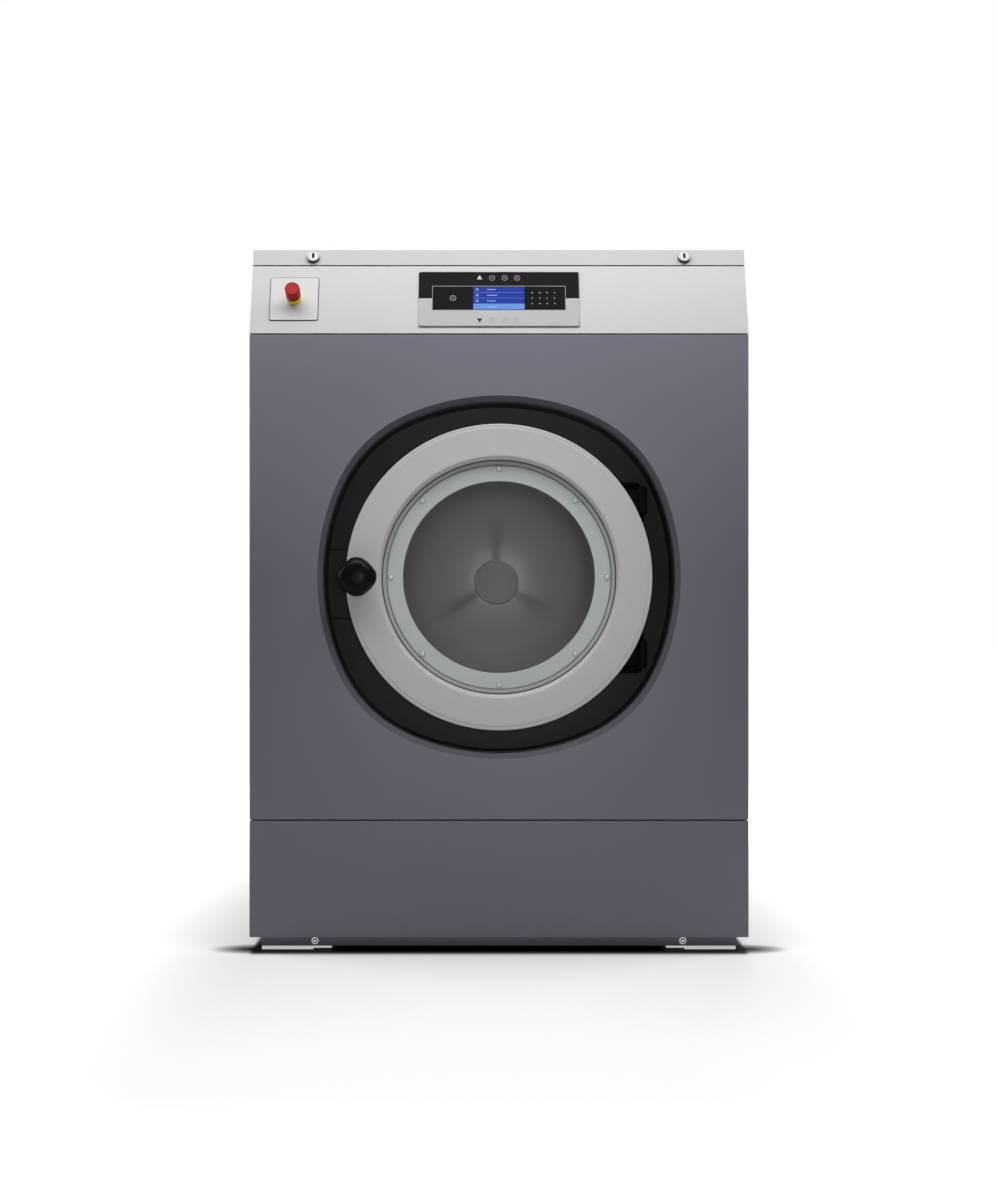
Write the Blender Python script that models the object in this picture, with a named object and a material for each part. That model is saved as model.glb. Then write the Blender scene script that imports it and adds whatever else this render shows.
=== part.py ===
# Front-loading, rigidly mounted commercial washing machine.
# Metres, +Z up. The machine faces -Y, stands on Z = 0 and is centred on the Z axis.

import math

import bmesh
import bpy
from mathutils import Vector

# Shared clearances and sheet metal
GAP = 0.0003
RUNNING_GAP = 0.0005
SEAM = 0.0025
OVERRUN = 0.012
SHEET = 0.0015
FOLD = 0.022
FASCIA_FOLD = 0.030

# Heights of the casing, from the floor up
FOOT_SOLE = 0.003
FOOT_PLATE = 0.004
PANEL_BASE = 0.0287
LOWER_PANEL_HEIGHT = 0.226
UPPER_PANEL_HEIGHT = 0.9425
FASCIA_HEIGHT = 0.1405
COVER_HEIGHT = 0.032
LEAN_ANGLE = math.radians(19.4)

# Drum and tub
DRUM_RADIUS = 0.375
DRUM_LENGTH = 0.400
DRUM_WALL = 0.002
DRUM_MOUTH_INSET = 0.010
DRUM_RUNNING_GAP = 0.020
DRUM_FRONT_GAP = 0.022
DRUM_REAR_GAP = 0.010
DRUM_BACK_THICKNESS = 0.005
GROOVE_DEPTH = 0.003
GROOVE_LENGTH = 0.190
GROOVE_WIDTH = 0.020
HUB_CAP_RADIUS = 0.050
HUB_CAP_THICKNESS = 0.007
LIFTER_HEIGHT = 0.070
LIFTER_WIDTH = 0.090
LIFTER_CREST = 0.030
LIFTER_MARGIN = 0.030
SPIDER_THICKNESS = 0.024
SPIDER_HUB_RADIUS = 0.070
SPIDER_ARM_WIDTH = 0.044
SPIDER_RIM_GAP = 0.012
TUB_WALL = 0.003
TUB_SIDE_ROOM = 0.087
TUB_RIM = 0.012
TUB_SHAFT_HOLE = 0.070
NECK_RADIUS = 0.215
NECK_SETBACK = 0.012
GASKET_LAP = 0.008
CRADLE_THICKNESS = 0.006
CRADLE_FRONT_SETIN = 0.060
CRADLE_REAR_SETIN = 0.110
CRADLE_ARC = math.radians(110)
CRADLE_FOOT_HEIGHT = 0.060
CRADLE_FOOT_HALF = 0.420

# Shaft, bearings and drive
SHAFT_RADIUS = 0.035
SHAFT_END_RADIUS = 0.025
BEARING_RADIUS = 0.062
BEARING_WIDTH = 0.038
BEARING_SETIN = 0.010
HOUSING_LENGTH = 0.150
HOUSING_RADIUS = 0.085
HOUSING_FLANGE_RADIUS = 0.165
HOUSING_FLANGE_THICKNESS = 0.016
PULLEY_GAP = 0.015
PULLEY_WIDTH = 0.045
PULLEY_RADIUS = 0.230
PULLEY_RIM = 0.014
PULLEY_WEB = 0.010
PULLEY_HUB_RADIUS = 0.048
PULLEY_HOLE_RADIUS = 0.042
PULLEY_HOLES = 6
BELT_THICKNESS = 0.006
BELT_EDGE = 0.005
MOTOR_PULLEY_RADIUS = 0.045
MOTOR_OFFSET = 0.210
MOTOR_RADIUS = 0.090
MOTOR_LENGTH = 0.175
MOTOR_FOOT_HEIGHT = 0.032
MOTOR_FOOT_WIDTH = 0.150
MOTOR_SHAFT_RADIUS = 0.014
MOTOR_SHAFT_DEPTH = 0.040
MOTOR_PULLEY_GAP = 0.012
DRIVE_ROOM = 0.0763

# Base frame, plinth and feet
FRAME_INSET = 0.0196
FRAME_HEIGHT = 0.060
FRAME_RAIL = 0.060
PLINTH_SETBACK = 0.025
FOOT_LENGTH = 0.136
FOOT_TOE = 0.100
FOOT_DEPTH = 0.120
FOOT_CHAMFER = 0.002
FOOT_END_GAP = 0.0014

# Panel opening and surround
DOOR_LAP = 0.0826
OPENING_GAP = 0.0519
OPENING_SQUARE_SHARE = 0.022
OPENING_FLAT_SHARE = 0.0024
OPENING_BEVEL = 0.0105
LIP_LENGTH = 0.016
SURROUND_WALL = 0.0025
SURROUND_HOLE_GAP = 0.022
SURROUND_ROOM = 0.0651
WINDOW_HALF_REACH = 0.190
WINDOW_INNER_REACH = 0.112
WINDOW_EDGE_GAP = 0.001
WINDOW_WIDTH = 0.056
WINDOW_CHAMFER = 0.012

# Door
DOOR_PROUD = 0.005
DOOR_THICKNESS = 0.025
DOOR_EDGE = 0.0066
DOOR_FLAT_LAP = 0.020
DOOR_SHOULDER = 0.0036
DOOR_SEAT_THICKNESS = 0.003
DOOR_SEAT_GAP = 0.003
CLAMP_LAP = 0.0056
CLAMP_INSET = 0.003
CLAMP_THICKNESS = 0.0025
CLAMP_RECESS = 0.015
GLASS_THICKNESS = 0.004
GLASS_FLANGE_INSET = 0.003
GLASS_INSET = 0.025
GLASS_REACH = 0.160

# Door hinge
HINGE_EDGE_GAP = 0.0008
HINGE_SETIN = 0.0075
KNUCKLE_RADIUS = 0.0085
KNUCKLE_HALF = 0.020
KNUCKLE_OFFSET = 0.151
EAR_THICKNESS = 0.006
EAR_RADIUS = 0.009
EAR_WEB = 0.030
PIN_RADIUS = 0.0045
ARM_THICKNESS = 0.008
ARM_LENGTH = 0.070
BRACKET_WIDTH = 0.024

# Knob, latch shaft and latch block
KNOB_INSET = 0.0236
KNOB_RADIUS = 0.0385
KNOB_REACH = 0.050
KNOB_LOBE_SHARE = 0.045
KNOB_SEAT_GAP = 0.0006
LATCH_SHAFT_RADIUS = 0.007
LATCH_SHAFT_GRIP = 0.020
CAM_LENGTH = 0.024
CAM_WIDTH = 0.012
CAM_THICKNESS = 0.007
LATCH_BLOCK_HALF = 0.0673
LATCH_BLOCK_DROP = 0.0114
LATCH_BLOCK_INNER = 0.019
LATCH_BLOCK_OUTER = 0.0595
LATCH_BLOCK_DEPTH = 0.0345
LATCH_PLATE = 0.006
LATCH_SLACK = 0.004
LATCH_SLOT_SLACK = 0.0075
LATCH_SEAM = 0.001

# Control face
DISPLAY_WIDTH = 0.314
DISPLAY_HEIGHT = 0.1205
DISPLAY_BASE = 0.0138
DISPLAY_THICKNESS = 0.004
DISPLAY_CORNER = 0.003
WINDOW_GLASS_WIDTH = 0.259
WINDOW_GLASS_HEIGHT = 0.052
WINDOW_GLASS_BASE = 0.0355
WINDOW_GLASS_THICKNESS = 0.002
ESTOP_SIDE_ROOM = 0.0845
ESTOP_RISE = 0.075
ESTOP_PLATE_SIZE = 0.094
ESTOP_PLATE_THICKNESS = 0.002
ESTOP_PLATE_CORNER = 0.004
ESTOP_COLLAR_RADIUS = 0.01375
ESTOP_COLLAR_HEIGHT = 0.005
ESTOP_NECK_RADIUS = 0.0120
ESTOP_NECK_HEIGHT = 0.015
ESTOP_STEM_RADIUS = 0.005
ESTOP_STEM_DEPTH = 0.022
ESTOP_STEM_SOCKET = 0.010
ESTOP_HEAD_RADIUS = 0.0145
ESTOP_HEAD_TOP = 0.040
ESTOP_HEAD_SKIRT = 0.0105
ESTOP_HEAD_ROOM = 0.006

# Key locks in the cover's lip, with their keepers on the fascia
LOCK_SIDE_ROOM = 0.119
LOCK_RADIUS = 0.0123
LOCK_PROUD = 0.0075
LOCK_FACE_RADIUS = 0.0100
LOCK_FACE_DEPTH = 0.0042
LOCK_BODY_RADIUS = 0.0090
LOCK_BODY_LENGTH = 0.0110
LOCK_SPINDLE_RADIUS = 0.005
LOCK_CAM_LENGTH = 0.012
LOCK_CAM_WIDTH = 0.008
LOCK_CAM_THICKNESS = 0.003
LOCK_CAM_GAP = 0.0013
LOCK_SLOT_WIDTH = 0.002
LOCK_SLOT_LENGTH = 0.010
KEEPER_GAP = 0.0012
KEEPER_CATCH = 0.0035
KEEPER_POST = 0.003
KEEPER_ROOT = 0.0285

# Cover hinges and dispenser
TOP_HINGE_SIDE_ROOM = 0.165
TOP_HINGE_RADIUS = 0.006
TOP_HINGE_PIN = 0.003
TOP_HINGE_HALF = 0.015
TOP_HINGE_EAR = 0.014
TOP_HINGE_STAND = 0.008
TOP_HINGE_DROP = 0.008
TOP_HINGE_LEAF = 0.002
TOP_HINGE_LEAF_HEIGHT = 0.045
DISPENSER_HALF = 0.110
DISPENSER_SETBACK = 0.130
DISPENSER_LENGTH = 0.200
DISPENSER_DEPTH = 0.120
DISPENSER_WALL = 0.003
DISPENSER_BINS = 3
DISPENSER_DIVIDER_DROP = 0.010
DISPENSER_RIM = 0.008
SPOUT_RADIUS = 0.025
LID_THICKNESS = 0.0030
LID_LAP = 0.010
LID_PIN_RADIUS = 0.0025
LID_BARREL_RADIUS = 0.0040
LID_EAR = 0.008
LID_EAR_SLOT = 0.001
LID_BARREL_GAP = 0.006

# Water, drain and mains connections at the rear
REAR_REACH = 0.045
DRAIN_SETIN = 0.050
DRAIN_BODY_RADIUS = 0.044
DRAIN_HEIGHT = 0.160
DRAIN_PIPE_RADIUS = 0.038
DRAIN_BORE_RADIUS = 0.034
DRAIN_BORE_DEPTH = 0.070
TUB_DRAIN_HOLE = 0.030
INLET_DROP = 0.0772
INLET_BODY_HALF = 0.045
INLET_BODY_RISE = 0.022
INLET_BODY_DEPTH = 0.045
INLET_OFFSET = 0.025
INLET_RADIUS = 0.0132
INLET_BORE_RADIUS = 0.0090
INLET_BORE_DEPTH = 0.024
INLET_REACH = 0.028
FEED_PIPE_RADIUS = 0.011
MAINS_BOX_SIDE_ROOM = 0.185
MAINS_BOX_HALF = 0.060
MAINS_BOX_DROP = 0.1372
MAINS_BOX_HEIGHT = 0.140
MAINS_BOX_DEPTH = 0.038
GLAND_RADIUS = 0.012
GLAND_LENGTH = 0.022

# Facets of round pieces
WIDE_FACETS = 64
INNER_FACETS = 40
MIDDLE_FACETS = 28
SMALL_FACETS = 16
HOLE_FACETS = 12

# Heights that follow
FOOT_TOP = FOOT_SOLE + FOOT_PLATE
FRAME_BASE = FOOT_TOP + GAP
FRAME_TOP = FRAME_BASE + FRAME_HEIGHT
LOWER_PANEL_TOP = PANEL_BASE + LOWER_PANEL_HEIGHT
UPPER_PANEL_BASE = LOWER_PANEL_TOP + SEAM
UPPER_PANEL_TOP = UPPER_PANEL_BASE + UPPER_PANEL_HEIGHT
FASCIA_BASE = UPPER_PANEL_TOP + SEAM
FASCIA_TOP = FASCIA_BASE + FASCIA_HEIGHT
COVER_BASE = FASCIA_TOP + SEAM
BODY_HEIGHT = COVER_BASE + COVER_HEIGHT
INLET_HEIGHT = BODY_HEIGHT - INLET_DROP
MAINS_BOX_BASE = BODY_HEIGHT - MAINS_BOX_DROP - MAINS_BOX_HEIGHT
AXIS_HEIGHT = UPPER_PANEL_BASE + UPPER_PANEL_HEIGHT / 2

# Depths that follow, measured back from the front panel's face
DOOR_BACK = DOOR_THICKNESS - DOOR_PROUD
HINGE_DEPTH = DOOR_BACK - HINGE_SETIN
SURROUND_DEPTH = DOOR_BACK + SURROUND_ROOM
TUB_FRONT = SURROUND_DEPTH + LATCH_BLOCK_DEPTH + GAP
DRUM_FRONT = TUB_FRONT + TUB_WALL + DRUM_FRONT_GAP
DRUM_REAR = DRUM_FRONT + DRUM_LENGTH
SPIDER_FRONT = DRUM_REAR + GAP
SPIDER_REAR = SPIDER_FRONT + SPIDER_THICKNESS
TUB_BACK = SPIDER_REAR + DRUM_REAR_GAP + TUB_WALL
HOUSING_FRONT = TUB_BACK + GAP
HOUSING_REAR = HOUSING_FRONT + HOUSING_LENGTH
PULLEY_FRONT = HOUSING_REAR + PULLEY_GAP
PULLEY_REAR = PULLEY_FRONT + PULLEY_WIDTH
BODY_DEPTH = PULLEY_REAR + DRIVE_ROOM
FRONT_REACH = DOOR_PROUD + KNOB_REACH
FRONT_Y = (FRONT_REACH - BODY_DEPTH - REAR_REACH) / 2

# Widths that follow
TUB_RADIUS = DRUM_RADIUS + DRUM_RUNNING_GAP
TUB_OUTER = TUB_RADIUS + TUB_WALL
HALF_WIDTH = TUB_OUTER + TUB_SIDE_ROOM
FRAME_HALF = HALF_WIDTH - FRAME_INSET
ESTOP_OFFSET = HALF_WIDTH - ESTOP_SIDE_ROOM
LOCK_OFFSET = HALF_WIDTH - LOCK_SIDE_ROOM
TOP_HINGE_OFFSET = HALF_WIDTH - TOP_HINGE_SIDE_ROOM
MAINS_BOX_OFFSET = HALF_WIDTH - MAINS_BOX_SIDE_ROOM

# Radii that follow from the tub's neck
DRUM_MOUTH_RADIUS = NECK_RADIUS - DRUM_MOUTH_INSET
GLASS_RADIUS = NECK_RADIUS - GLASS_INSET
GLASS_FLANGE_RADIUS = NECK_RADIUS - GLASS_FLANGE_INSET
DOOR_SEAT_RADIUS = GLASS_RADIUS + DOOR_SEAT_GAP
CLAMP_WINDOW_RADIUS = GLASS_RADIUS - CLAMP_INSET
CLAMP_RADIUS = GLASS_FLANGE_RADIUS + CLAMP_LAP
DOOR_FLAT_RADIUS = NECK_RADIUS + DOOR_FLAT_LAP
DOOR_RADIUS = NECK_RADIUS + DOOR_LAP
OPENING_RADIUS = DOOR_RADIUS + OPENING_GAP
EAR_LOW_REACH = KNUCKLE_OFFSET - KNUCKLE_HALF - GAP - EAR_THICKNESS
HINGE_X = math.sqrt(DOOR_RADIUS ** 2 - EAR_LOW_REACH ** 2) + HINGE_EDGE_GAP + EAR_RADIUS
KNOB_X = KNOB_INSET - DOOR_RADIUS
MOTOR_HEIGHT = FRAME_TOP + GAP + MOTOR_FOOT_HEIGHT + MOTOR_RADIUS

# Surface finishes: colour in 8-bit sRGB, roughness, metallic
FINISHES = {
    "grey_paint": ((108, 108, 118), 0.45, 0.0),
    "silver_paint": ((212, 212, 212), 0.40, 0.1),
    "side_paint": ((108, 108, 118), 0.45, 0.0),
    "frame_paint": ((60, 62, 66), 0.55, 0.0),
    "zinc": ((190, 192, 192), 0.45, 0.9),
    "cast_ring": ((165, 165, 165), 0.38, 0.6),
    "stainless": ((160, 162, 163), 0.30, 1.0),
    "steel": ((140, 142, 145), 0.35, 1.0),
    "cast_iron": ((70, 72, 74), 0.60, 0.6),
    "black_casting": ((24, 24, 25), 0.55, 0.3),
    "black_moulding": ((30, 33, 34), 0.45, 0.0),
    "gloss_black": ((14, 14, 15), 0.20, 0.0),
    "dark_window": ((20, 20, 22), 0.10, 0.0),
    "clear_glass": ((150, 160, 160), 0.05, 0.0),
    "rubber": ((35, 35, 37), 0.75, 0.0),
    "red_plastic": ((200, 40, 42), 0.35, 0.0),
    "yellow_plastic": ((214, 190, 30), 0.40, 0.0),
    "chrome": ((205, 206, 208), 0.15, 1.0),
    "motor_paint": ((54, 58, 66), 0.50, 0.2),
    "grey_plastic": ((96, 98, 102), 0.50, 0.0),
}


def clear_scene():
    for item in list(bpy.data.objects):
        bpy.data.objects.remove(item, do_unlink=True)


def linear_colour(rgb):
    full_scale = 255
    shares = [value / full_scale for value in rgb]
    return [share ** 2.2 for share in shares] + [1.0]


def finish_material(finish):
    material = bpy.data.materials.get(finish)
    if material:
        return material
    colour, roughness, metallic = FINISHES[finish]
    material = bpy.data.materials.new(finish)
    material.use_nodes = True
    shader = material.node_tree.nodes["Principled BSDF"]
    shader.inputs["Base Color"].default_value = linear_colour(colour)
    shader.inputs["Roughness"].default_value = roughness
    shader.inputs["Metallic"].default_value = metallic
    material.diffuse_color = linear_colour(colour)
    return material


# Each body is a row of loops with equal numbers of points, joined by quads. An open row is capped at both
# ends; a ring joins its last loop to its first.
def loft(name, loops, finish, ring=False):
    shape = bmesh.new()
    rows = [[shape.verts.new(point) for point in loop] for loop in loops]
    pairs = list(zip(rows, rows[1:]))
    if ring:
        pairs.append((rows[-1], rows[0]))
    for near, far in pairs:
        count = len(near)
        for i in range(count):
            j = (i + 1) % count
            shape.faces.new((near[i], near[j], far[j], far[i]))
    if not ring:
        shape.faces.new(rows[0])
        shape.faces.new(rows[-1])
    bmesh.ops.recalc_face_normals(shape, faces=shape.faces)
    mesh = bpy.data.meshes.new(name)
    shape.to_mesh(mesh)
    shape.free()
    return finished(name, mesh, finish)


# The object's origin is moved to the middle of its mesh, and round faces are shaded smooth.
def finished(name, mesh, finish):
    corners = [vertex.co.copy() for vertex in mesh.vertices]
    low = Vector([min(point[axis] for point in corners) for axis in range(3)])
    high = Vector([max(point[axis] for point in corners) for axis in range(3)])
    middle = (low + high) / 2
    for vertex in mesh.vertices:
        vertex.co = vertex.co - middle
    mesh.shade_smooth()
    mesh.set_sharp_from_angle(angle=math.radians(35))
    mesh.materials.append(finish_material(finish))
    body = bpy.data.objects.new(name, mesh)
    body.location = middle
    bpy.context.scene.collection.objects.link(body)
    return body


def combine(target, tool, operation):
    step = target.modifiers.new(tool.name, "BOOLEAN")
    step.operation = operation
    step.object = tool
    tool.hide_render = True
    tool.display_type = "WIRE"
    return target


def cut(target, tool):
    return combine(target, tool, "DIFFERENCE")


def add(target, tool):
    return combine(target, tool, "UNION")


def spatial(direction, first, second, along):
    if direction == "X":
        return Vector((along, first, second))
    if direction == "Y":
        return Vector((first, along, second))
    return Vector((first, second, along))


def prism(name, direction, outline, start, end, finish):
    loops = [[spatial(direction, a, b, along) for a, b in outline] for along in (start, end)]
    return loft(name, loops, finish)


def block(name, low, high, finish):
    outline = [(low[0], low[1]), (high[0], low[1]), (high[0], high[1]), (low[0], high[1])]
    return prism(name, "Z", outline, low[2], high[2], finish)


def rectangle(low_a, high_a, low_b, high_b):
    return [(low_a, low_b), (high_a, low_b), (high_a, high_b), (low_a, high_b)]


def rounded_rectangle(centre_a, centre_b, width, height, corner):
    quarter_steps = 4
    points = []
    for quarter, (side_a, side_b) in enumerate(((1, 1), (-1, 1), (-1, -1), (1, -1))):
        middle_a = centre_a + side_a * (width / 2 - corner)
        middle_b = centre_b + side_b * (height / 2 - corner)
        for step in range(quarter_steps + 1):
            angle = (quarter + step / quarter_steps) * math.pi / 2
            points.append((middle_a + corner * math.cos(angle), middle_b + corner * math.sin(angle)))
    return points


# The outline moved inwards by a wall's thickness, with mitred corners.
def inset_outline(outline, wall):
    count = len(outline)
    area = sum(
        outline[i][0] * outline[(i + 1) % count][1] - outline[(i + 1) % count][0] * outline[i][1]
        for i in range(count)
    )
    turn = 1 if area > 0 else -1
    inner = []
    for i in range(count):
        before, here, after = (Vector(outline[k % count]) for k in (i - 1, i, i + 1))
        arriving = (here - before).normalized()
        leaving = (after - here).normalized()
        normal_in = Vector((-arriving.y, arriving.x)) * turn
        normal_out = Vector((-leaving.y, leaving.x)) * turn
        mitre = (normal_in + normal_out) / (1 + normal_in.dot(normal_out))
        inner.append(tuple(here + mitre * wall))
    return inner


# A folded sheet tray: closed at one end, open at the other.
def tray(name, direction, outline, open_end, closed_end, wall, finish):
    inner = inset_outline(outline, wall)
    inward = wall if open_end > closed_end else -wall
    rows = [(inner, closed_end + inward), (inner, open_end), (outline, open_end), (outline, closed_end)]
    loops = [[spatial(direction, a, b, along) for a, b in points] for points, along in rows]
    return loft(name, loops, finish)


def axis_frame(axis):
    along = Vector(axis).normalized()
    level = math.hypot(along.x, along.y)
    side = Vector((0, 0, 1)) if abs(along.z) < level else Vector((1, 0, 0))
    across = side.cross(along).normalized()
    return across, along.cross(across), along


# A turned piece: its profile holds pairs of radius and distance along the axis.
def turned(name, centre, axis, profile, finish, facets=SMALL_FACETS, ring=False):
    across, upward, along = axis_frame(axis)
    loops = []
    for radius, distance in profile:
        middle = Vector(centre) + along * distance
        angles = [2 * math.pi * i / facets for i in range(facets)]
        loops.append([middle + (across * math.cos(a) + upward * math.sin(a)) * radius for a in angles])
    return loft(name, loops, finish, ring)


def rod(name, centre, axis, radius, start, end, finish, facets=SMALL_FACETS):
    return turned(name, centre, axis, [(radius, start), (radius, end)], finish, facets)


def tube(name, centre, axis, outer, inner, start, end, finish, facets=SMALL_FACETS):
    profile = [(outer, start), (outer, end), (inner, end), (inner, start)]
    return turned(name, centre, axis, profile, finish, facets, ring=True)


# A place at a stated depth behind the front panel's face.
def depth(distance):
    return FRONT_Y + distance


DOOR_CENTRE = (0, FRONT_Y, AXIS_HEIGHT)
BACKWARD = (0, 1, 0)
REAR_Y = FRONT_Y + BODY_DEPTH


# The leaning control face: x across, rise up the slope from the fascia's lower edge, out away from it.
def face_point(x, rise, out):
    y = FRONT_Y + rise * math.sin(LEAN_ANGLE) - out * math.cos(LEAN_ANGLE)
    z = FASCIA_BASE + rise * math.cos(LEAN_ANGLE) + out * math.sin(LEAN_ANGLE)
    return Vector((x, y, z))


def face_y(z):
    return FRONT_Y + (z - FASCIA_BASE) * math.tan(LEAN_ANGLE)


FACE_NORMAL = (0, -math.cos(LEAN_ANGLE), math.sin(LEAN_ANGLE))


def face_prism(name, outline, start, end, finish):
    loops = [[face_point(x, rise, out) for x, rise in outline] for out in (start, end)]
    return loft(name, loops, finish)


# Loops around the door's axis share their angles, so that rings and rectangles can be joined.
def ray_angles():
    return [2 * math.pi * i / WIDE_FACETS for i in range(WIDE_FACETS)]


def opening_reach(angle):
    squareness = OPENING_SQUARE_SHARE * math.cos(4 * angle)
    flatness = OPENING_FLAT_SHARE * math.cos(8 * angle)
    return OPENING_RADIUS * (1 - squareness + flatness)


def opening_loop(outward, distance):
    loop = []
    for angle in ray_angles():
        reach = opening_reach(angle) + outward
        loop.append(Vector((reach * math.cos(angle), depth(distance), AXIS_HEIGHT + reach * math.sin(angle))))
    return loop


def round_loop(radius, distance):
    return [
        Vector((radius * math.cos(angle), depth(distance), AXIS_HEIGHT + radius * math.sin(angle)))
        for angle in ray_angles()
    ]


def panel_loop(inset, distance):
    half, low, high = HALF_WIDTH - inset, UPPER_PANEL_BASE + inset, UPPER_PANEL_TOP - inset
    loop = []
    for angle in ray_angles():
        toward_x, toward_z = math.cos(angle), math.sin(angle)
        edge = (high if toward_z > 0 else low) - AXIS_HEIGHT
        reach_x = half / abs(toward_x) if abs(toward_x) > 1e-9 else math.inf
        reach_z = edge / toward_z if abs(toward_z) > 1e-9 else math.inf
        reach = min(reach_x, reach_z)
        loop.append(Vector((reach * toward_x, depth(distance), AXIS_HEIGHT + reach * toward_z)))
    for corner_x in (half, -half):
        for corner_z in (high, low):
            angle = math.atan2(corner_z - AXIS_HEIGHT, corner_x)
            nearest = round(angle * WIDE_FACETS / (2 * math.pi)) % WIDE_FACETS
            loop[nearest] = Vector((corner_x, depth(distance), corner_z))
    return loop


# Casing

def make_front_panel():
    arc_steps = 3
    loops = [panel_loop(0, FOLD), panel_loop(0, 0)]
    for step in range(arc_steps + 1):
        angle = math.pi / 2 * step / arc_steps
        loops.append(opening_loop(OPENING_BEVEL * (1 - math.sin(angle)), OPENING_BEVEL * (1 - math.cos(angle))))
    loops.append(opening_loop(0, LIP_LENGTH))
    loops.append(opening_loop(SHEET, LIP_LENGTH))
    inner_bevel = OPENING_BEVEL - SHEET
    for step in range(arc_steps + 1):
        angle = math.pi / 2 * (1 - step / arc_steps)
        outward = SHEET + inner_bevel * (1 - math.sin(angle))
        loops.append(opening_loop(outward, SHEET + inner_bevel * (1 - math.cos(angle))))
    loops += [panel_loop(SHEET, SHEET), panel_loop(SHEET, FOLD)]
    return loft("front_panel", loops, "grey_paint", ring=True)


def make_lower_front_panel():
    outline = rectangle(-HALF_WIDTH, HALF_WIDTH, PANEL_BASE, LOWER_PANEL_TOP)
    return tray("lower_front_panel", "Y", outline, depth(FOLD), depth(0), SHEET, "grey_paint")


def make_side_panel(name, side):
    front = depth(FOLD + GAP)
    fascia_shift = FASCIA_FOLD + GAP
    step_height = (UPPER_PANEL_TOP + FASCIA_BASE) / 2
    top = COVER_BASE - GAP
    outline = [
        (front, PANEL_BASE),
        (front, step_height),
        (face_y(step_height) + fascia_shift, step_height),
        (face_y(top) + fascia_shift, top),
        (REAR_Y - SHEET - GAP, top),
        (REAR_Y - SHEET - GAP, PANEL_BASE),
    ]
    return tray(name, "X", outline, side * (FRAME_HALF + GAP), side * HALF_WIDTH, SHEET, "side_paint")


def make_rear_panel():
    outline = rectangle(-HALF_WIDTH, HALF_WIDTH, PANEL_BASE, COVER_BASE - GAP)
    panel = prism("rear_panel", "Y", outline, REAR_Y - SHEET, REAR_Y, "zinc")
    start, end = REAR_Y - SHEET - OVERRUN, REAR_Y + OVERRUN
    drain = (0, 0, DRAIN_HEIGHT)
    hole = DRAIN_PIPE_RADIUS + GAP
    cut(panel, rod("rear_drain_hole", drain, BACKWARD, hole, start, end, "zinc", MIDDLE_FACETS))
    for side in (-1, 1):
        inlet = (side * INLET_OFFSET, 0, INLET_HEIGHT)
        cut(panel, rod(f"rear_inlet_hole_{side}", inlet, BACKWARD, INLET_RADIUS + GAP, start, end, "zinc"))
    return panel


def leaning_rectangle(inset, low, high, setback):
    half = HALF_WIDTH - inset
    corners = [(-half, low + inset), (half, low + inset), (half, high - inset), (-half, high - inset)]
    return [Vector((x, face_y(z) + setback, z)) for x, z in corners]


def make_control_fascia():
    skin = SHEET / math.cos(LEAN_ANGLE)
    loops = [
        leaning_rectangle(SHEET, FASCIA_BASE, FASCIA_TOP, skin),
        leaning_rectangle(SHEET, FASCIA_BASE, FASCIA_TOP, FASCIA_FOLD),
        leaning_rectangle(0, FASCIA_BASE, FASCIA_TOP, FASCIA_FOLD),
        leaning_rectangle(0, FASCIA_BASE, FASCIA_TOP, 0),
    ]
    fascia = loft("control_fascia", loops, "silver_paint")
    for side in (-1, 1):
        add(fascia, make_lock_keeper(side))
    stem_hole = ESTOP_STEM_RADIUS + RUNNING_GAP
    estop = face_point(-ESTOP_OFFSET, ESTOP_RISE, 0)
    cut(fascia, rod("fascia_estop_hole", estop, FACE_NORMAL, stem_hole, -OVERRUN, OVERRUN, "silver_paint"))
    return fascia


LOCK_RISE = (COVER_BASE + COVER_HEIGHT / 2 - FASCIA_BASE) / math.cos(LEAN_ANGLE)
LOCK_CAM_FRONT = -LOCK_BODY_LENGTH - LOCK_CAM_GAP


# The keeper is an upside-down L that the turned cam catches from below.
def make_lock_keeper(side):
    lock_x = side * LOCK_OFFSET
    inner = lock_x + LOCK_CAM_WIDTH / 2 + KEEPER_CATCH
    post = lock_x + LOCK_CAM_LENGTH + KEEPER_CATCH
    ledge = LOCK_RISE + LOCK_CAM_WIDTH / 2 + KEEPER_GAP
    root = LOCK_RISE - KEEPER_ROOT / 2
    outline = [
        (post, root),
        (post + KEEPER_POST, root),
        (post + KEEPER_POST, ledge + KEEPER_POST),
        (inner, ledge + KEEPER_POST),
        (inner, ledge),
        (post, ledge),
    ]
    back = LOCK_CAM_FRONT - LOCK_CAM_THICKNESS
    name = "keeper_left" if side < 0 else "keeper_right"
    return face_prism(name, outline, back - GAP, LOCK_CAM_FRONT + GAP, "zinc")


def level_rectangle(inset, z, front_shift):
    half = HALF_WIDTH - inset
    front = face_y(z) + front_shift
    rear = REAR_Y - inset
    return [Vector((x, y, z)) for x, y in ((-half, front), (half, front), (half, rear), (-half, rear))]


COVER_HINGE_Y = REAR_Y + TOP_HINGE_STAND
COVER_HINGE_Z = BODY_HEIGHT - TOP_HINGE_DROP
LID_REAR = DISPENSER_SETBACK + DISPENSER_LENGTH + LID_LAP
LID_AXIS_Y = depth(LID_REAR + LID_BARREL_GAP)
LID_AXIS_Z = BODY_HEIGHT + GAP + LID_BARREL_RADIUS
LID_HALF = DISPENSER_HALF + LID_LAP


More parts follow.
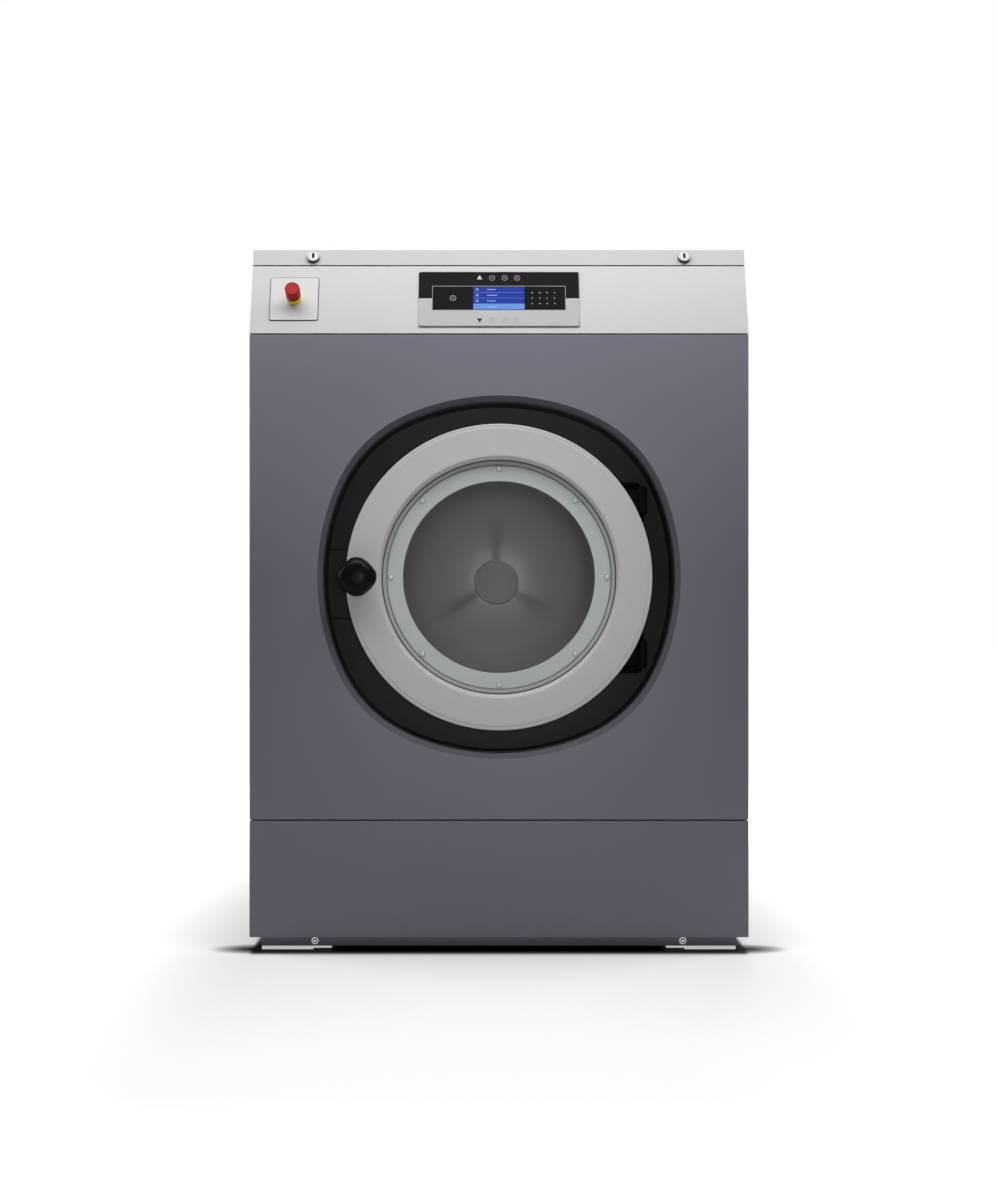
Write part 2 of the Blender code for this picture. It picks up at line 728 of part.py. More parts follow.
def make_top_cover():
    skin = SHEET / math.cos(LEAN_ANGLE)
    under_top = BODY_HEIGHT - SHEET
    loops = [
        level_rectangle(SHEET, under_top, skin),
        level_rectangle(SHEET, COVER_BASE, skin),
        level_rectangle(0, COVER_BASE, 0),
        level_rectangle(0, BODY_HEIGHT, 0),
    ]
    cover = loft("top_cover", loops, "silver_paint")
    for side, word in ((-1, "left"), (1, "right")):
        hinge = (side * TOP_HINGE_OFFSET, COVER_HINGE_Y, COVER_HINGE_Z)
        half = TOP_HINGE_HALF
        web_low = (hinge[0] - half, REAR_Y - SHEET / 2, COVER_HINGE_Z - TOP_HINGE_PIN)
        web_high = (hinge[0] + half, COVER_HINGE_Y, COVER_HINGE_Z + TOP_HINGE_PIN)
        add(cover, block(f"cover_web_{word}", web_low, web_high, "zinc"))
        add(cover, rod(f"cover_knuckle_{word}", hinge, (1, 0, 0), TOP_HINGE_RADIUS, -half, half, "zinc"))
        reach = half + OVERRUN
        bore = TOP_HINGE_PIN + GAP
        cut(cover, rod(f"cover_bore_{word}", hinge, (1, 0, 0), bore, -reach, reach, "zinc"))
        lock = face_point(side * LOCK_OFFSET, LOCK_RISE, 0)
        hole = LOCK_BODY_RADIUS + GAP
        cut(cover, rod(f"cover_lock_hole_{word}", lock, FACE_NORMAL, hole, -OVERRUN, OVERRUN, "zinc"))
        add(cover, make_lid_ear(side, word))
    mouth_low = (DISPENSER_RIM - DISPENSER_HALF, depth(DISPENSER_SETBACK + DISPENSER_RIM), under_top - OVERRUN)
    mouth_rear = depth(DISPENSER_SETBACK + DISPENSER_LENGTH - DISPENSER_RIM)
    mouth_high = (DISPENSER_HALF - DISPENSER_RIM, mouth_rear, BODY_HEIGHT + OVERRUN)
    cut(cover, block("cover_mouth", mouth_low, mouth_high, "zinc"))
    lid_axis = (0, LID_AXIS_Y, LID_AXIS_Z)
    reach = LID_HALF + LID_EAR + OVERRUN
    cut(cover, rod("cover_lid_bore", lid_axis, (1, 0, 0), LID_PIN_RADIUS + GAP, -reach, reach, "zinc"))
    return cover


def make_lid_ear(side, word):
    inner = side * (LID_HALF + LID_EAR_SLOT)
    outer = side * (LID_HALF + LID_EAR_SLOT + LID_EAR)
    low = (min(inner, outer), LID_AXIS_Y - LID_BARREL_RADIUS, BODY_HEIGHT - SHEET / 2)
    high = (max(inner, outer), LID_AXIS_Y + LID_BARREL_RADIUS, LID_AXIS_Z + LID_BARREL_RADIUS)
    return block(f"cover_lid_ear_{word}", low, high, "zinc")


def make_top_hinge(side, word):
    hinge = (side * TOP_HINGE_OFFSET, COVER_HINGE_Y, COVER_HINGE_Z)
    inner = TOP_HINGE_HALF + GAP
    outer = inner + TOP_HINGE_EAR
    leaf_top = COVER_HINGE_Z - TOP_HINGE_RADIUS - GAP
    leaf_low = (hinge[0] - outer, REAR_Y + GAP, leaf_top - TOP_HINGE_LEAF_HEIGHT)
    leaf_high = (hinge[0] + outer, REAR_Y + GAP + TOP_HINGE_LEAF, leaf_top)
    name = f"top_hinge_{word}"
    leaf = block(name, leaf_low, leaf_high, "zinc")
    for end in (-1, 1):
        start, stop = sorted((end * inner, end * outer))
        ear_low = (hinge[0] + start, REAR_Y + GAP, leaf_top - TOP_HINGE_RADIUS)
        ear_high = (hinge[0] + stop, COVER_HINGE_Y, COVER_HINGE_Z)
        add(leaf, block(f"{name}_ear_{end}", ear_low, ear_high, "zinc"))
        add(leaf, rod(f"{name}_knuckle_{end}", hinge, (1, 0, 0), TOP_HINGE_RADIUS, start, stop, "zinc"))
    middle = (inner + outer) / 2
    add(leaf, rod(f"{name}_pin", hinge, (1, 0, 0), TOP_HINGE_PIN, -middle, middle, "zinc"))
    return leaf


def make_lock_barrel(side, word):
    centre = face_point(side * LOCK_OFFSET, LOCK_RISE, 0)
    bore = LOCK_SPINDLE_RADIUS + GAP
    recess = LOCK_FACE_RADIUS + GAP
    floor = LOCK_PROUD - LOCK_FACE_DEPTH
    profile = [
        (LOCK_BODY_RADIUS, -LOCK_BODY_LENGTH),
        (LOCK_BODY_RADIUS, GAP),
        (LOCK_RADIUS, GAP),
        (LOCK_RADIUS, LOCK_PROUD),
        (recess, LOCK_PROUD),
        (recess, floor),
        (bore, floor),
        (bore, -LOCK_BODY_LENGTH),
    ]
    return turned(f"lock_barrel_{word}", centre, FACE_NORMAL, profile, "chrome", ring=True)


def make_lock_plug(side, word):
    lock_x = side * LOCK_OFFSET
    centre = face_point(lock_x, LOCK_RISE, 0)
    floor = LOCK_PROUD - LOCK_FACE_DEPTH + GAP
    cam_back = LOCK_CAM_FRONT - LOCK_CAM_THICKNESS
    profile = [
        (LOCK_SPINDLE_RADIUS, LOCK_CAM_FRONT),
        (LOCK_SPINDLE_RADIUS, floor),
        (LOCK_FACE_RADIUS, floor),
        (LOCK_FACE_RADIUS, LOCK_PROUD),
    ]
    name = f"lock_plug_{word}"
    plug = turned(name, centre, FACE_NORMAL, profile, "chrome")
    half = LOCK_CAM_WIDTH / 2
    outline = rectangle(lock_x - half, lock_x + half, LOCK_RISE - LOCK_CAM_LENGTH, LOCK_RISE + half)
    add(plug, face_prism(f"{name}_cam", outline, cam_back, LOCK_CAM_FRONT + LOCK_CAM_GAP / 2, "zinc"))
    slot_half, slot_reach = LOCK_SLOT_WIDTH / 2, LOCK_SLOT_LENGTH / 2
    slot = rectangle(lock_x - slot_half, lock_x + slot_half, LOCK_RISE - slot_reach, LOCK_RISE + slot_reach)
    slot_floor = (floor + LOCK_PROUD) / 2
    cut(plug, face_prism(f"{name}_slot", slot, slot_floor, LOCK_PROUD + OVERRUN, "zinc"))
    return plug


# Control unit and emergency stop

def make_display_bezel():
    centre = DISPLAY_BASE + DISPLAY_HEIGHT / 2
    outline = rounded_rectangle(0, centre, DISPLAY_WIDTH, DISPLAY_HEIGHT, DISPLAY_CORNER)
    bezel = face_prism("display_bezel", outline, GAP, DISPLAY_THICKNESS, "gloss_black")
    floor = DISPLAY_THICKNESS - WINDOW_GLASS_THICKNESS - GAP
    half = WINDOW_GLASS_WIDTH / 2 + GAP
    low = DISPLAY_BASE + WINDOW_GLASS_BASE - GAP
    high = DISPLAY_BASE + WINDOW_GLASS_BASE + WINDOW_GLASS_HEIGHT + GAP
    pocket = face_prism("bezel_pocket", rectangle(-half, half, low, high), floor, OVERRUN, "gloss_black")
    return cut(bezel, pocket)


def make_display_window():
    half = WINDOW_GLASS_WIDTH / 2
    low = DISPLAY_BASE + WINDOW_GLASS_BASE
    outline = rectangle(-half, half, low, low + WINDOW_GLASS_HEIGHT)
    start = DISPLAY_THICKNESS - WINDOW_GLASS_THICKNESS
    return face_prism("display_window", outline, start, DISPLAY_THICKNESS, "dark_window")


ESTOP_CENTRE = face_point(-ESTOP_OFFSET, ESTOP_RISE, 0)
ESTOP_FACE = ESTOP_PLATE_THICKNESS


def make_estop_plate():
    size = ESTOP_PLATE_SIZE
    outline = rounded_rectangle(-ESTOP_OFFSET, ESTOP_RISE, size, size, ESTOP_PLATE_CORNER)
    plate = face_prism("estop_plate", outline, GAP, ESTOP_FACE, "silver_paint")
    hole = ESTOP_STEM_RADIUS + RUNNING_GAP
    return cut(plate, rod("plate_hole", ESTOP_CENTRE, FACE_NORMAL, hole, -OVERRUN, OVERRUN, "silver_paint"))


def make_estop_collar():
    base = ESTOP_FACE + GAP
    bore = ESTOP_STEM_RADIUS + RUNNING_GAP
    profile = [
        (ESTOP_COLLAR_RADIUS, base),
        (ESTOP_COLLAR_RADIUS, ESTOP_FACE + ESTOP_COLLAR_HEIGHT),
        (ESTOP_NECK_RADIUS, ESTOP_FACE + ESTOP_COLLAR_HEIGHT),
        (ESTOP_NECK_RADIUS, ESTOP_FACE + ESTOP_NECK_HEIGHT),
        (bore, ESTOP_FACE + ESTOP_NECK_HEIGHT),
        (bore, base),
    ]
    return turned("estop_collar", ESTOP_CENTRE, FACE_NORMAL, profile, "yellow_plastic", ring=True)


ESTOP_HEAD_FLOOR = ESTOP_FACE + ESTOP_NECK_HEIGHT + ESTOP_HEAD_ROOM
ESTOP_STEM_TOP = ESTOP_HEAD_FLOOR + ESTOP_STEM_SOCKET


def make_estop_stem():
    stem_top = ESTOP_STEM_TOP - GAP
    return rod("estop_stem", ESTOP_CENTRE, FACE_NORMAL, ESTOP_STEM_RADIUS, -ESTOP_STEM_DEPTH, stem_top, "steel")


def make_estop_head():
    top = ESTOP_FACE + ESTOP_HEAD_TOP
    skirt = ESTOP_FACE + ESTOP_HEAD_SKIRT
    hollow = ESTOP_NECK_RADIUS + RUNNING_GAP
    socket = ESTOP_STEM_RADIUS + GAP
    rounding = ESTOP_HEAD_RADIUS - ESTOP_NECK_RADIUS
    corner = rounding - rounding / math.sqrt(2)
    profile = [
        (socket, ESTOP_STEM_TOP),
        (socket, ESTOP_HEAD_FLOOR),
        (hollow, ESTOP_HEAD_FLOOR),
        (hollow, skirt),
        (ESTOP_HEAD_RADIUS, skirt),
        (ESTOP_HEAD_RADIUS, top - rounding),
        (ESTOP_HEAD_RADIUS - corner, top - corner),
        (ESTOP_HEAD_RADIUS - rounding, top),
    ]
    return turned("estop_head", ESTOP_CENTRE, FACE_NORMAL, profile, "red_plastic")


# Surround, latch block and hinge brackets

def window_outline(side):
    inner, outer = AXIS_HEIGHT + side * WINDOW_INNER_REACH, AXIS_HEIGHT + side * WINDOW_HALF_REACH
    right = HINGE_X + EAR_RADIUS + WINDOW_EDGE_GAP
    left = right - WINDOW_WIDTH
    corner = [(right, outer - side * WINDOW_CHAMFER), (right - WINDOW_CHAMFER, outer)]
    return [(left, inner), (right, inner)] + corner + [(left, outer)]


def make_door_surround():
    hole = NECK_RADIUS + SURROUND_HOLE_GAP
    start = OPENING_BEVEL
    plate_back = SURROUND_DEPTH + SURROUND_WALL
    loops = [
        opening_loop(-GAP, start),
        opening_loop(-GAP - SURROUND_WALL, start),
        opening_loop(-GAP - SURROUND_WALL, SURROUND_DEPTH),
        round_loop(hole, SURROUND_DEPTH),
        round_loop(hole, plate_back),
        opening_loop(-GAP, plate_back),
    ]
    surround = loft("door_surround", loops, "black_moulding", ring=True)
    start_y, end_y = depth(SURROUND_DEPTH - OVERRUN), depth(plate_back + OVERRUN)
    for side, word in ((1, "upper"), (-1, "lower")):
        cut(surround, prism(f"window_{word}", "Y", window_outline(side), start_y, end_y, "rubber"))
    left, right, low, high = latch_block_sides(LATCH_SEAM)
    opening = rectangle(left, right, low, high)
    return cut(surround, prism("latch_opening", "Y", opening, start_y, end_y, "rubber"))


def latch_block_sides(margin):
    centre = AXIS_HEIGHT - LATCH_BLOCK_DROP
    half = LATCH_BLOCK_HALF + margin
    left = KNOB_X - LATCH_BLOCK_OUTER - margin
    right = KNOB_X + LATCH_BLOCK_INNER + margin
    return left, right, centre - half, centre + half


CAM_FRONT = SURROUND_DEPTH + LATCH_PLATE + LATCH_SLACK
CAM_BACK = CAM_FRONT + CAM_THICKNESS


def make_latch_block():
    left, right, low, high = latch_block_sides(0)
    back = SURROUND_DEPTH + LATCH_BLOCK_DEPTH
    body = prism("latch_block", "Y", rectangle(left, right, low, high),
                 depth(SURROUND_DEPTH), depth(back), "black_moulding")
    half_slot = CAM_WIDTH / 2 + LATCH_SLOT_SLACK
    floor = AXIS_HEIGHT - CAM_WIDTH / 2 - LATCH_SLACK
    roof = AXIS_HEIGHT + CAM_LENGTH + LATCH_SLACK
    slot = rectangle(KNOB_X - half_slot, KNOB_X + half_slot, floor, roof)
    pocket = rectangle(KNOB_X - CAM_LENGTH - LATCH_SLACK, KNOB_X + half_slot, floor, roof)
    pocket_start = depth(SURROUND_DEPTH + LATCH_PLATE)
    pocket_end = depth(CAM_BACK + LATCH_SLACK)
    cut(body, prism("latch_pocket", "Y", pocket, pocket_start, pocket_end, "rubber"))
    slot_start = depth(SURROUND_DEPTH - OVERRUN)
    slot_end = depth(SURROUND_DEPTH + LATCH_PLATE + LATCH_SLACK / 2)
    return cut(body, prism("latch_slot", "Y", slot, slot_start, slot_end, "rubber"))


def make_hinge_bracket(side, word):
    middle = AXIS_HEIGHT + side * KNUCKLE_OFFSET
    inner = KNUCKLE_HALF + GAP
    outer = inner + EAR_THICKNESS
    axis_y = depth(HINGE_DEPTH)
    base_y = depth(TUB_FRONT - GAP)
    left, right = HINGE_X + EAR_RADIUS - BRACKET_WIDTH, HINGE_X + EAR_RADIUS
    tip_steps = 8
    outline = [(left, base_y), (right, base_y)]
    for step in range(tip_steps + 1):
        angle = -math.pi * step / tip_steps
        outline.append((HINGE_X + EAR_RADIUS * math.cos(angle), axis_y + EAR_RADIUS * math.sin(angle)))
    name = f"hinge_bracket_{word}"
    bracket = prism(name, "Z", outline, middle - outer, middle + outer, "black_casting")
    gap_rear = base_y - EAR_WEB
    low = (left - OVERRUN, axis_y - EAR_RADIUS - OVERRUN, middle - inner)
    high = (right + OVERRUN, gap_rear, middle + inner)
    cut(bracket, block(f"{name}_gap", low, high, "rubber"))
    pin = (HINGE_X, axis_y, middle)
    half = (inner + outer) / 2
    return add(bracket, rod(f"{name}_pin", pin, (0, 0, 1), PIN_RADIUS, -half, half, "steel"))


def make_hinge_arm(side, word):
    middle = AXIS_HEIGHT + side * KNUCKLE_OFFSET
    axis_y = depth(HINGE_DEPTH)
    centre = (HINGE_X, axis_y, middle)
    front = depth(DOOR_BACK + GAP)
    low = (HINGE_X - ARM_LENGTH, front, middle - KNUCKLE_HALF)
    high = (HINGE_X, front + ARM_THICKNESS, middle + KNUCKLE_HALF)
    name = f"hinge_arm_{word}"
    arm = block(name, low, high, "black_casting")
    half = KNUCKLE_HALF
    crank_low = (HINGE_X - KNUCKLE_RADIUS, axis_y, middle - half)
    crank_high = (HINGE_X, front + ARM_THICKNESS / 2, middle + half)
    add(arm, block(f"{name}_crank", crank_low, crank_high, "black_casting"))
    add(arm, rod(f"{name}_knuckle", centre, (0, 0, 1), KNUCKLE_RADIUS, -half, half, "black_casting",
                 MIDDLE_FACETS))
    reach = half + OVERRUN
    bore = PIN_RADIUS + GAP
    return cut(arm, rod(f"{name}_bore", centre, (0, 0, 1), bore, -reach, reach, "black_casting"))


# Door

def make_door_ring():
    seat_front = DOOR_BACK - DOOR_SEAT_THICKNESS
    groove = DOOR_FLAT_RADIUS - DOOR_SHOULDER
    edge_steps = 3
    profile = []
    for step in range(edge_steps + 1):
        angle = math.pi / 2 * step / edge_steps
        radius = DOOR_RADIUS - DOOR_EDGE * (1 - math.cos(angle))
        profile.append((radius, -DOOR_PROUD + DOOR_EDGE * (1 - math.sin(angle))))
    profile += [
        (DOOR_FLAT_RADIUS, -DOOR_PROUD),
        (groove, DOOR_SHOULDER - DOOR_PROUD),
        (groove, seat_front),
        (DOOR_SEAT_RADIUS, seat_front),
        (DOOR_SEAT_RADIUS, DOOR_BACK),
        (DOOR_RADIUS - DOOR_SHOULDER, DOOR_BACK),
        (DOOR_RADIUS, DOOR_BACK - DOOR_SHOULDER),
    ]
    ring = turned("door_ring", DOOR_CENTRE, BACKWARD, profile, "cast_ring", WIDE_FACETS, ring=True)
    knob = (KNOB_X, FRONT_Y, AXIS_HEIGHT)
    start, end = -DOOR_PROUD - OVERRUN, DOOR_BACK + OVERRUN
    hole = LATCH_SHAFT_RADIUS + RUNNING_GAP
    return cut(ring, rod("ring_shaft_hole", knob, BACKWARD, hole, start, end, "cast_ring"))


CLAMP_FRONT = CLAMP_RECESS - DOOR_PROUD
CLAMP_BACK = CLAMP_FRONT + CLAMP_THICKNESS
GLASS_FRONT = CLAMP_BACK + GAP


def make_clamp_ring():
    return tube("glass_clamp_ring", DOOR_CENTRE, BACKWARD, CLAMP_RADIUS, CLAMP_WINDOW_RADIUS,
                CLAMP_FRONT, CLAMP_BACK, "stainless", WIDE_FACETS)


# Shares of the bowl's radius and of its reach behind the flange, from the middle of the bowl outwards.
BOWL_SHARES = [(0.15, 1.0), (0.50, 0.97), (0.74, 0.88), (0.90, 0.70), (0.97, 0.42), (1.0, 0.05)]


def make_door_glass():
    flange_back = DOOR_BACK - DOOR_SEAT_THICKNESS - GAP
    outer = [(GLASS_RADIUS * wide, flange_back + GLASS_REACH * deep) for wide, deep in BOWL_SHARES]
    inner_radius = GLASS_RADIUS - GLASS_THICKNESS
    inner_reach = GLASS_REACH - GLASS_THICKNESS
    inner = [(inner_radius * wide, flange_back + inner_reach * deep) for wide, deep in BOWL_SHARES]
    flange = [
        (inner_radius, GLASS_FRONT),
        (GLASS_FLANGE_RADIUS, GLASS_FRONT),
        (GLASS_FLANGE_RADIUS, flange_back),
        (GLASS_RADIUS, flange_back),
    ]
    profile = inner + flange + outer[::-1]
    return turned("door_glass", DOOR_CENTRE, BACKWARD, profile, "clear_glass", MIDDLE_FACETS)


NECK_FRONT = DOOR_BACK + NECK_SETBACK


def make_door_gasket():
    front = DOOR_BACK + GAP
    return tube("door_gasket", DOOR_CENTRE, BACKWARD, NECK_RADIUS + TUB_WALL + GASKET_LAP / 2,
                NECK_RADIUS - GASKET_LAP / 2, front, NECK_FRONT - GAP, "rubber", INNER_FACETS)


# Shares of the knob's radius and of its reach in front of the door ring.
KNOB_SHARES = [
    (0.42, 0.0), (0.42, 0.18), (0.80, 0.26), (1.0, 0.45), (1.0, 0.66), (0.88, 0.86), (0.60, 0.97), (0.25, 1.0),
]


def lobed_loop(radius, lobe, out):
    loop = []
    for i in range(MIDDLE_FACETS):
        angle = 2 * math.pi * i / MIDDLE_FACETS
        reach = radius * (1 + lobe * (math.cos(4 * angle) - 1) / 2)
        across, upward = reach * math.cos(angle), reach * math.sin(angle)
        loop.append(Vector((KNOB_X + across, depth(-out), AXIS_HEIGHT + upward)))
    return loop


def make_door_knob():
    base = DOOR_PROUD + KNOB_SEAT_GAP
    reach = KNOB_REACH - KNOB_SEAT_GAP
    bore = LATCH_SHAFT_RADIUS + GAP
    loops = [lobed_loop(bore, 0, DOOR_PROUD + LATCH_SHAFT_GRIP + GAP), lobed_loop(bore, 0, base)]
    for wide, far in KNOB_SHARES:
        lobe = KNOB_LOBE_SHARE * 2 if far > KNOB_SHARES[1][1] else 0
        loops.append(lobed_loop(KNOB_RADIUS * wide, lobe, base + reach * far))
    return loft("door_knob", loops, "gloss_black")


def make_latch_shaft():
    knob = (KNOB_X, FRONT_Y, AXIS_HEIGHT)
    start = -DOOR_PROUD - LATCH_SHAFT_GRIP
    shaft = rod("latch_shaft", knob, BACKWARD, LATCH_SHAFT_RADIUS, start, CAM_BACK - LATCH_SLACK / 2, "steel")
    half = CAM_WIDTH / 2
    low = (KNOB_X - half, depth(CAM_FRONT), AXIS_HEIGHT - half)
    high = (KNOB_X + half, depth(CAM_BACK), AXIS_HEIGHT + CAM_LENGTH)
    return add(shaft, block("latch_cam", low, high, "steel"))


# Tub

def make_tub_front():
    neck_outer = NECK_RADIUS + TUB_WALL
    profile = [
        (TUB_OUTER + TUB_RIM, TUB_FRONT),
        (neck_outer, TUB_FRONT),
        (neck_outer, NECK_FRONT),
        (NECK_RADIUS, NECK_FRONT),
        (NECK_RADIUS, TUB_FRONT + TUB_WALL),
        (TUB_OUTER + TUB_RIM, TUB_FRONT + TUB_WALL),
    ]
    return turned("tub_front", DOOR_CENTRE, BACKWARD, profile, "stainless", INNER_FACETS, ring=True)


def make_tub_shell():
    start = TUB_FRONT + TUB_WALL + GAP
    profile = [
        (TUB_RADIUS, start),
        (TUB_RADIUS, TUB_BACK - TUB_WALL),
        (TUB_SHAFT_HOLE, TUB_BACK - TUB_WALL),
        (TUB_SHAFT_HOLE, TUB_BACK),
        (TUB_OUTER, TUB_BACK),
        (TUB_OUTER, start + TUB_WALL),
        (TUB_OUTER + TUB_RIM, start + TUB_WALL),
        (TUB_OUTER + TUB_RIM, start),
    ]
    shell = turned("tub_shell", DOOR_CENTRE, BACKWARD, profile, "stainless", INNER_FACETS, ring=True)
    spout = (0, depth(DISPENSER_SETBACK + DISPENSER_LENGTH / 2), AXIS_HEIGHT)
    reach = TUB_OUTER + OVERRUN
    hole = SPOUT_RADIUS + GAP
    cut(shell, rod("tub_spout_hole", spout, (0, 0, 1), hole, DRUM_RADIUS, reach, "stainless"))
    drain = (0, depth(TUB_BACK - DRAIN_SETIN), AXIS_HEIGHT)
    hole = TUB_DRAIN_HOLE
    return cut(shell, rod("tub_drain_hole", drain, (0, 0, -1), hole, DRUM_RADIUS, reach, "stainless"))


def make_tub_cradle(word, start):
    arc_steps = 16
    radius = (TUB_OUTER + GAP) / math.cos(CRADLE_ARC / arc_steps / 2)
    base = FRAME_TOP + GAP
    shoulder = base + CRADLE_FOOT_HEIGHT
    outline = [(-CRADLE_FOOT_HALF, shoulder), (-CRADLE_FOOT_HALF, base),
               (CRADLE_FOOT_HALF, base), (CRADLE_FOOT_HALF, shoulder)]
    for step in range(arc_steps + 1):
        angle = -math.pi / 2 + CRADLE_ARC / 2 - CRADLE_ARC * step / arc_steps
        outline.append((radius * math.cos(angle), AXIS_HEIGHT + radius * math.sin(angle)))
    near, far = depth(start), depth(start + CRADLE_THICKNESS)
    return prism(f"tub_cradle_{word}", "Y", outline, near, far, "frame_paint")


# Drum

def make_drum_basket():
    profile = [
        (DRUM_MOUTH_RADIUS, DRUM_FRONT),
        (DRUM_RADIUS, DRUM_FRONT),
        (DRUM_RADIUS, DRUM_REAR),
        (DRUM_RADIUS - DRUM_WALL, DRUM_REAR),
        (DRUM_RADIUS - DRUM_WALL, DRUM_FRONT + DRUM_WALL),
        (DRUM_MOUTH_RADIUS, DRUM_FRONT + DRUM_WALL),
    ]
    return turned("drum_basket", DOOR_CENTRE, BACKWARD, profile, "stainless", INNER_FACETS, ring=True)


DRUM_BACK_FRONT = DRUM_REAR - DRUM_BACK_THICKNESS
THIRDS = [math.radians(90 + 120 * i) for i in range(3)]


# A straight run along a radius of the drum, as an outline in the plane of the drum's back.
def radial_outline(angle, start, end, start_width, end_width):
    along = Vector((math.cos(angle), math.sin(angle)))
    across = Vector((-along.y, along.x))
    centre = Vector((0, AXIS_HEIGHT))
    corners = ((start, -start_width), (end, -end_width), (end, end_width), (start, start_width))
    return [tuple(centre + along * reach + across * width / 2) for reach, width in corners]


def make_drum_back():
    radius = DRUM_RADIUS - DRUM_WALL - GAP
    back = rod("drum_back", DOOR_CENTRE, BACKWARD, radius, DRUM_BACK_FRONT, DRUM_REAR, "stainless",
               INNER_FACETS)
    for index, angle in enumerate(THIRDS):
        end = HUB_CAP_RADIUS + GROOVE_LENGTH
        outline = radial_outline(angle, HUB_CAP_RADIUS / 2, end, GROOVE_WIDTH, GROOVE_WIDTH / 2)
        start_y, end_y = depth(DRUM_BACK_FRONT - OVERRUN), depth(DRUM_BACK_FRONT + GROOVE_DEPTH)
        cut(back, prism(f"back_groove_{index}", "Y", outline, start_y, end_y, "stainless"))
    return back


def make_hub_cap():
    rear = DRUM_BACK_FRONT - GAP
    front = rear - HUB_CAP_THICKNESS
    edge = HUB_CAP_THICKNESS / 2
    profile = [(HUB_CAP_RADIUS, rear), (HUB_CAP_RADIUS, front + edge), (HUB_CAP_RADIUS - edge, front)]
    return turned("drum_hub_cap", DOOR_CENTRE, BACKWARD, profile, "stainless", MIDDLE_FACETS)


def make_lifter(angle, word):
    wall = (DRUM_RADIUS - DRUM_WALL) * math.cos(math.pi / INNER_FACETS) - GAP
    seat_half = LIFTER_WIDTH / 2
    seat = math.sqrt(wall ** 2 - seat_half ** 2)
    crest = wall - LIFTER_HEIGHT
    along = Vector((math.cos(angle), math.sin(angle)))
    across = Vector((-along.y, along.x))
    centre = Vector((0, AXIS_HEIGHT))
    arc_steps = 4
    points = [(crest, -LIFTER_CREST / 2), (crest, LIFTER_CREST / 2)]
    half_angle = math.atan2(seat_half, seat)
    for step in range(arc_steps + 1):
        turn = half_angle * (1 - 2 * step / arc_steps)
        points.append((wall * math.cos(turn) - GAP, wall * math.sin(turn)))
    outline = [tuple(centre + along * reach + across * side) for reach, side in points]
    start = depth(DRUM_FRONT + DRUM_WALL + LIFTER_MARGIN)
    end = depth(DRUM_BACK_FRONT - GAP)
    return prism(f"drum_lifter_{word}", "Y", outline, start, end, "stainless")


def make_drum_shaft():
    profile = [
        (SPIDER_HUB_RADIUS, SPIDER_FRONT),
        (SPIDER_HUB_RADIUS, SPIDER_REAR),
        (SHAFT_RADIUS, SPIDER_REAR),
        (SHAFT_RADIUS, HOUSING_REAR + PULLEY_GAP / 2),
        (SHAFT_END_RADIUS, HOUSING_REAR + PULLEY_GAP / 2),
        (SHAFT_END_RADIUS, PULLEY_REAR),
    ]
    shaft = turned("drum_shaft", DOOR_CENTRE, BACKWARD, profile, "cast_iron", MIDDLE_FACETS)
    for index, angle in enumerate(THIRDS):
        end = DRUM_RADIUS - SPIDER_RIM_GAP
        outline = radial_outline(angle, SPIDER_HUB_RADIUS / 2, end, SPIDER_ARM_WIDTH, SPIDER_ARM_WIDTH)
        near, far = depth(SPIDER_FRONT), depth(SPIDER_REAR)
        add(shaft, prism(f"spider_arm_{index}", "Y", outline, near, far, "cast_iron"))
    return shaft


# Bearings and drive

def make_bearing_housing():
    bore = BEARING_RADIUS + GAP
    flange_rear = HOUSING_FRONT + HOUSING_FLANGE_THICKNESS
    profile = [
        (bore, HOUSING_FRONT),
        (HOUSING_FLANGE_RADIUS, HOUSING_FRONT),
        (HOUSING_FLANGE_RADIUS, flange_rear),
        (HOUSING_RADIUS, flange_rear),
        (HOUSING_RADIUS, HOUSING_REAR),
        (bore, HOUSING_REAR),
    ]
    return turned("bearing_housing", DOOR_CENTRE, BACKWARD, profile, "cast_iron", MIDDLE_FACETS, ring=True)


def make_bearing(word, start):
    return tube(f"bearing_{word}", DOOR_CENTRE, BACKWARD, BEARING_RADIUS, SHAFT_RADIUS + GAP,
                start, start + BEARING_WIDTH, "steel", MIDDLE_FACETS)


def make_driven_pulley():
    bore = SHAFT_END_RADIUS + GAP
    middle = (PULLEY_FRONT + PULLEY_REAR) / 2
    web_front, web_rear = middle - PULLEY_WEB / 2, middle + PULLEY_WEB / 2
    rim = PULLEY_RADIUS - PULLEY_RIM
    profile = [
        (bore, PULLEY_FRONT),
        (PULLEY_HUB_RADIUS, PULLEY_FRONT),
        (PULLEY_HUB_RADIUS, web_front),
        (rim, web_front),
        (rim, PULLEY_FRONT),
        (PULLEY_RADIUS, PULLEY_FRONT),
        (PULLEY_RADIUS, PULLEY_REAR),
        (rim, PULLEY_REAR),
        (rim, web_rear),
        (PULLEY_HUB_RADIUS, web_rear),
        (PULLEY_HUB_RADIUS, PULLEY_REAR),
        (bore, PULLEY_REAR),
    ]
    pulley = turned("driven_pulley", DOOR_CENTRE, BACKWARD, profile, "cast_iron", MIDDLE_FACETS, ring=True)
    reach = (PULLEY_HUB_RADIUS + rim) / 2
    for index in range(PULLEY_HOLES):
        angle = 2 * math.pi * index / PULLEY_HOLES
        centre = (reach * math.cos(angle), FRONT_Y, AXIS_HEIGHT + reach * math.sin(angle))
        start, end = PULLEY_FRONT, PULLEY_REAR
        cut(pulley, rod(f"pulley_hole_{index}", centre, BACKWARD, PULLEY_HOLE_RADIUS, start, end, "cast_iron",
                        HOLE_FACETS))
    return pulley


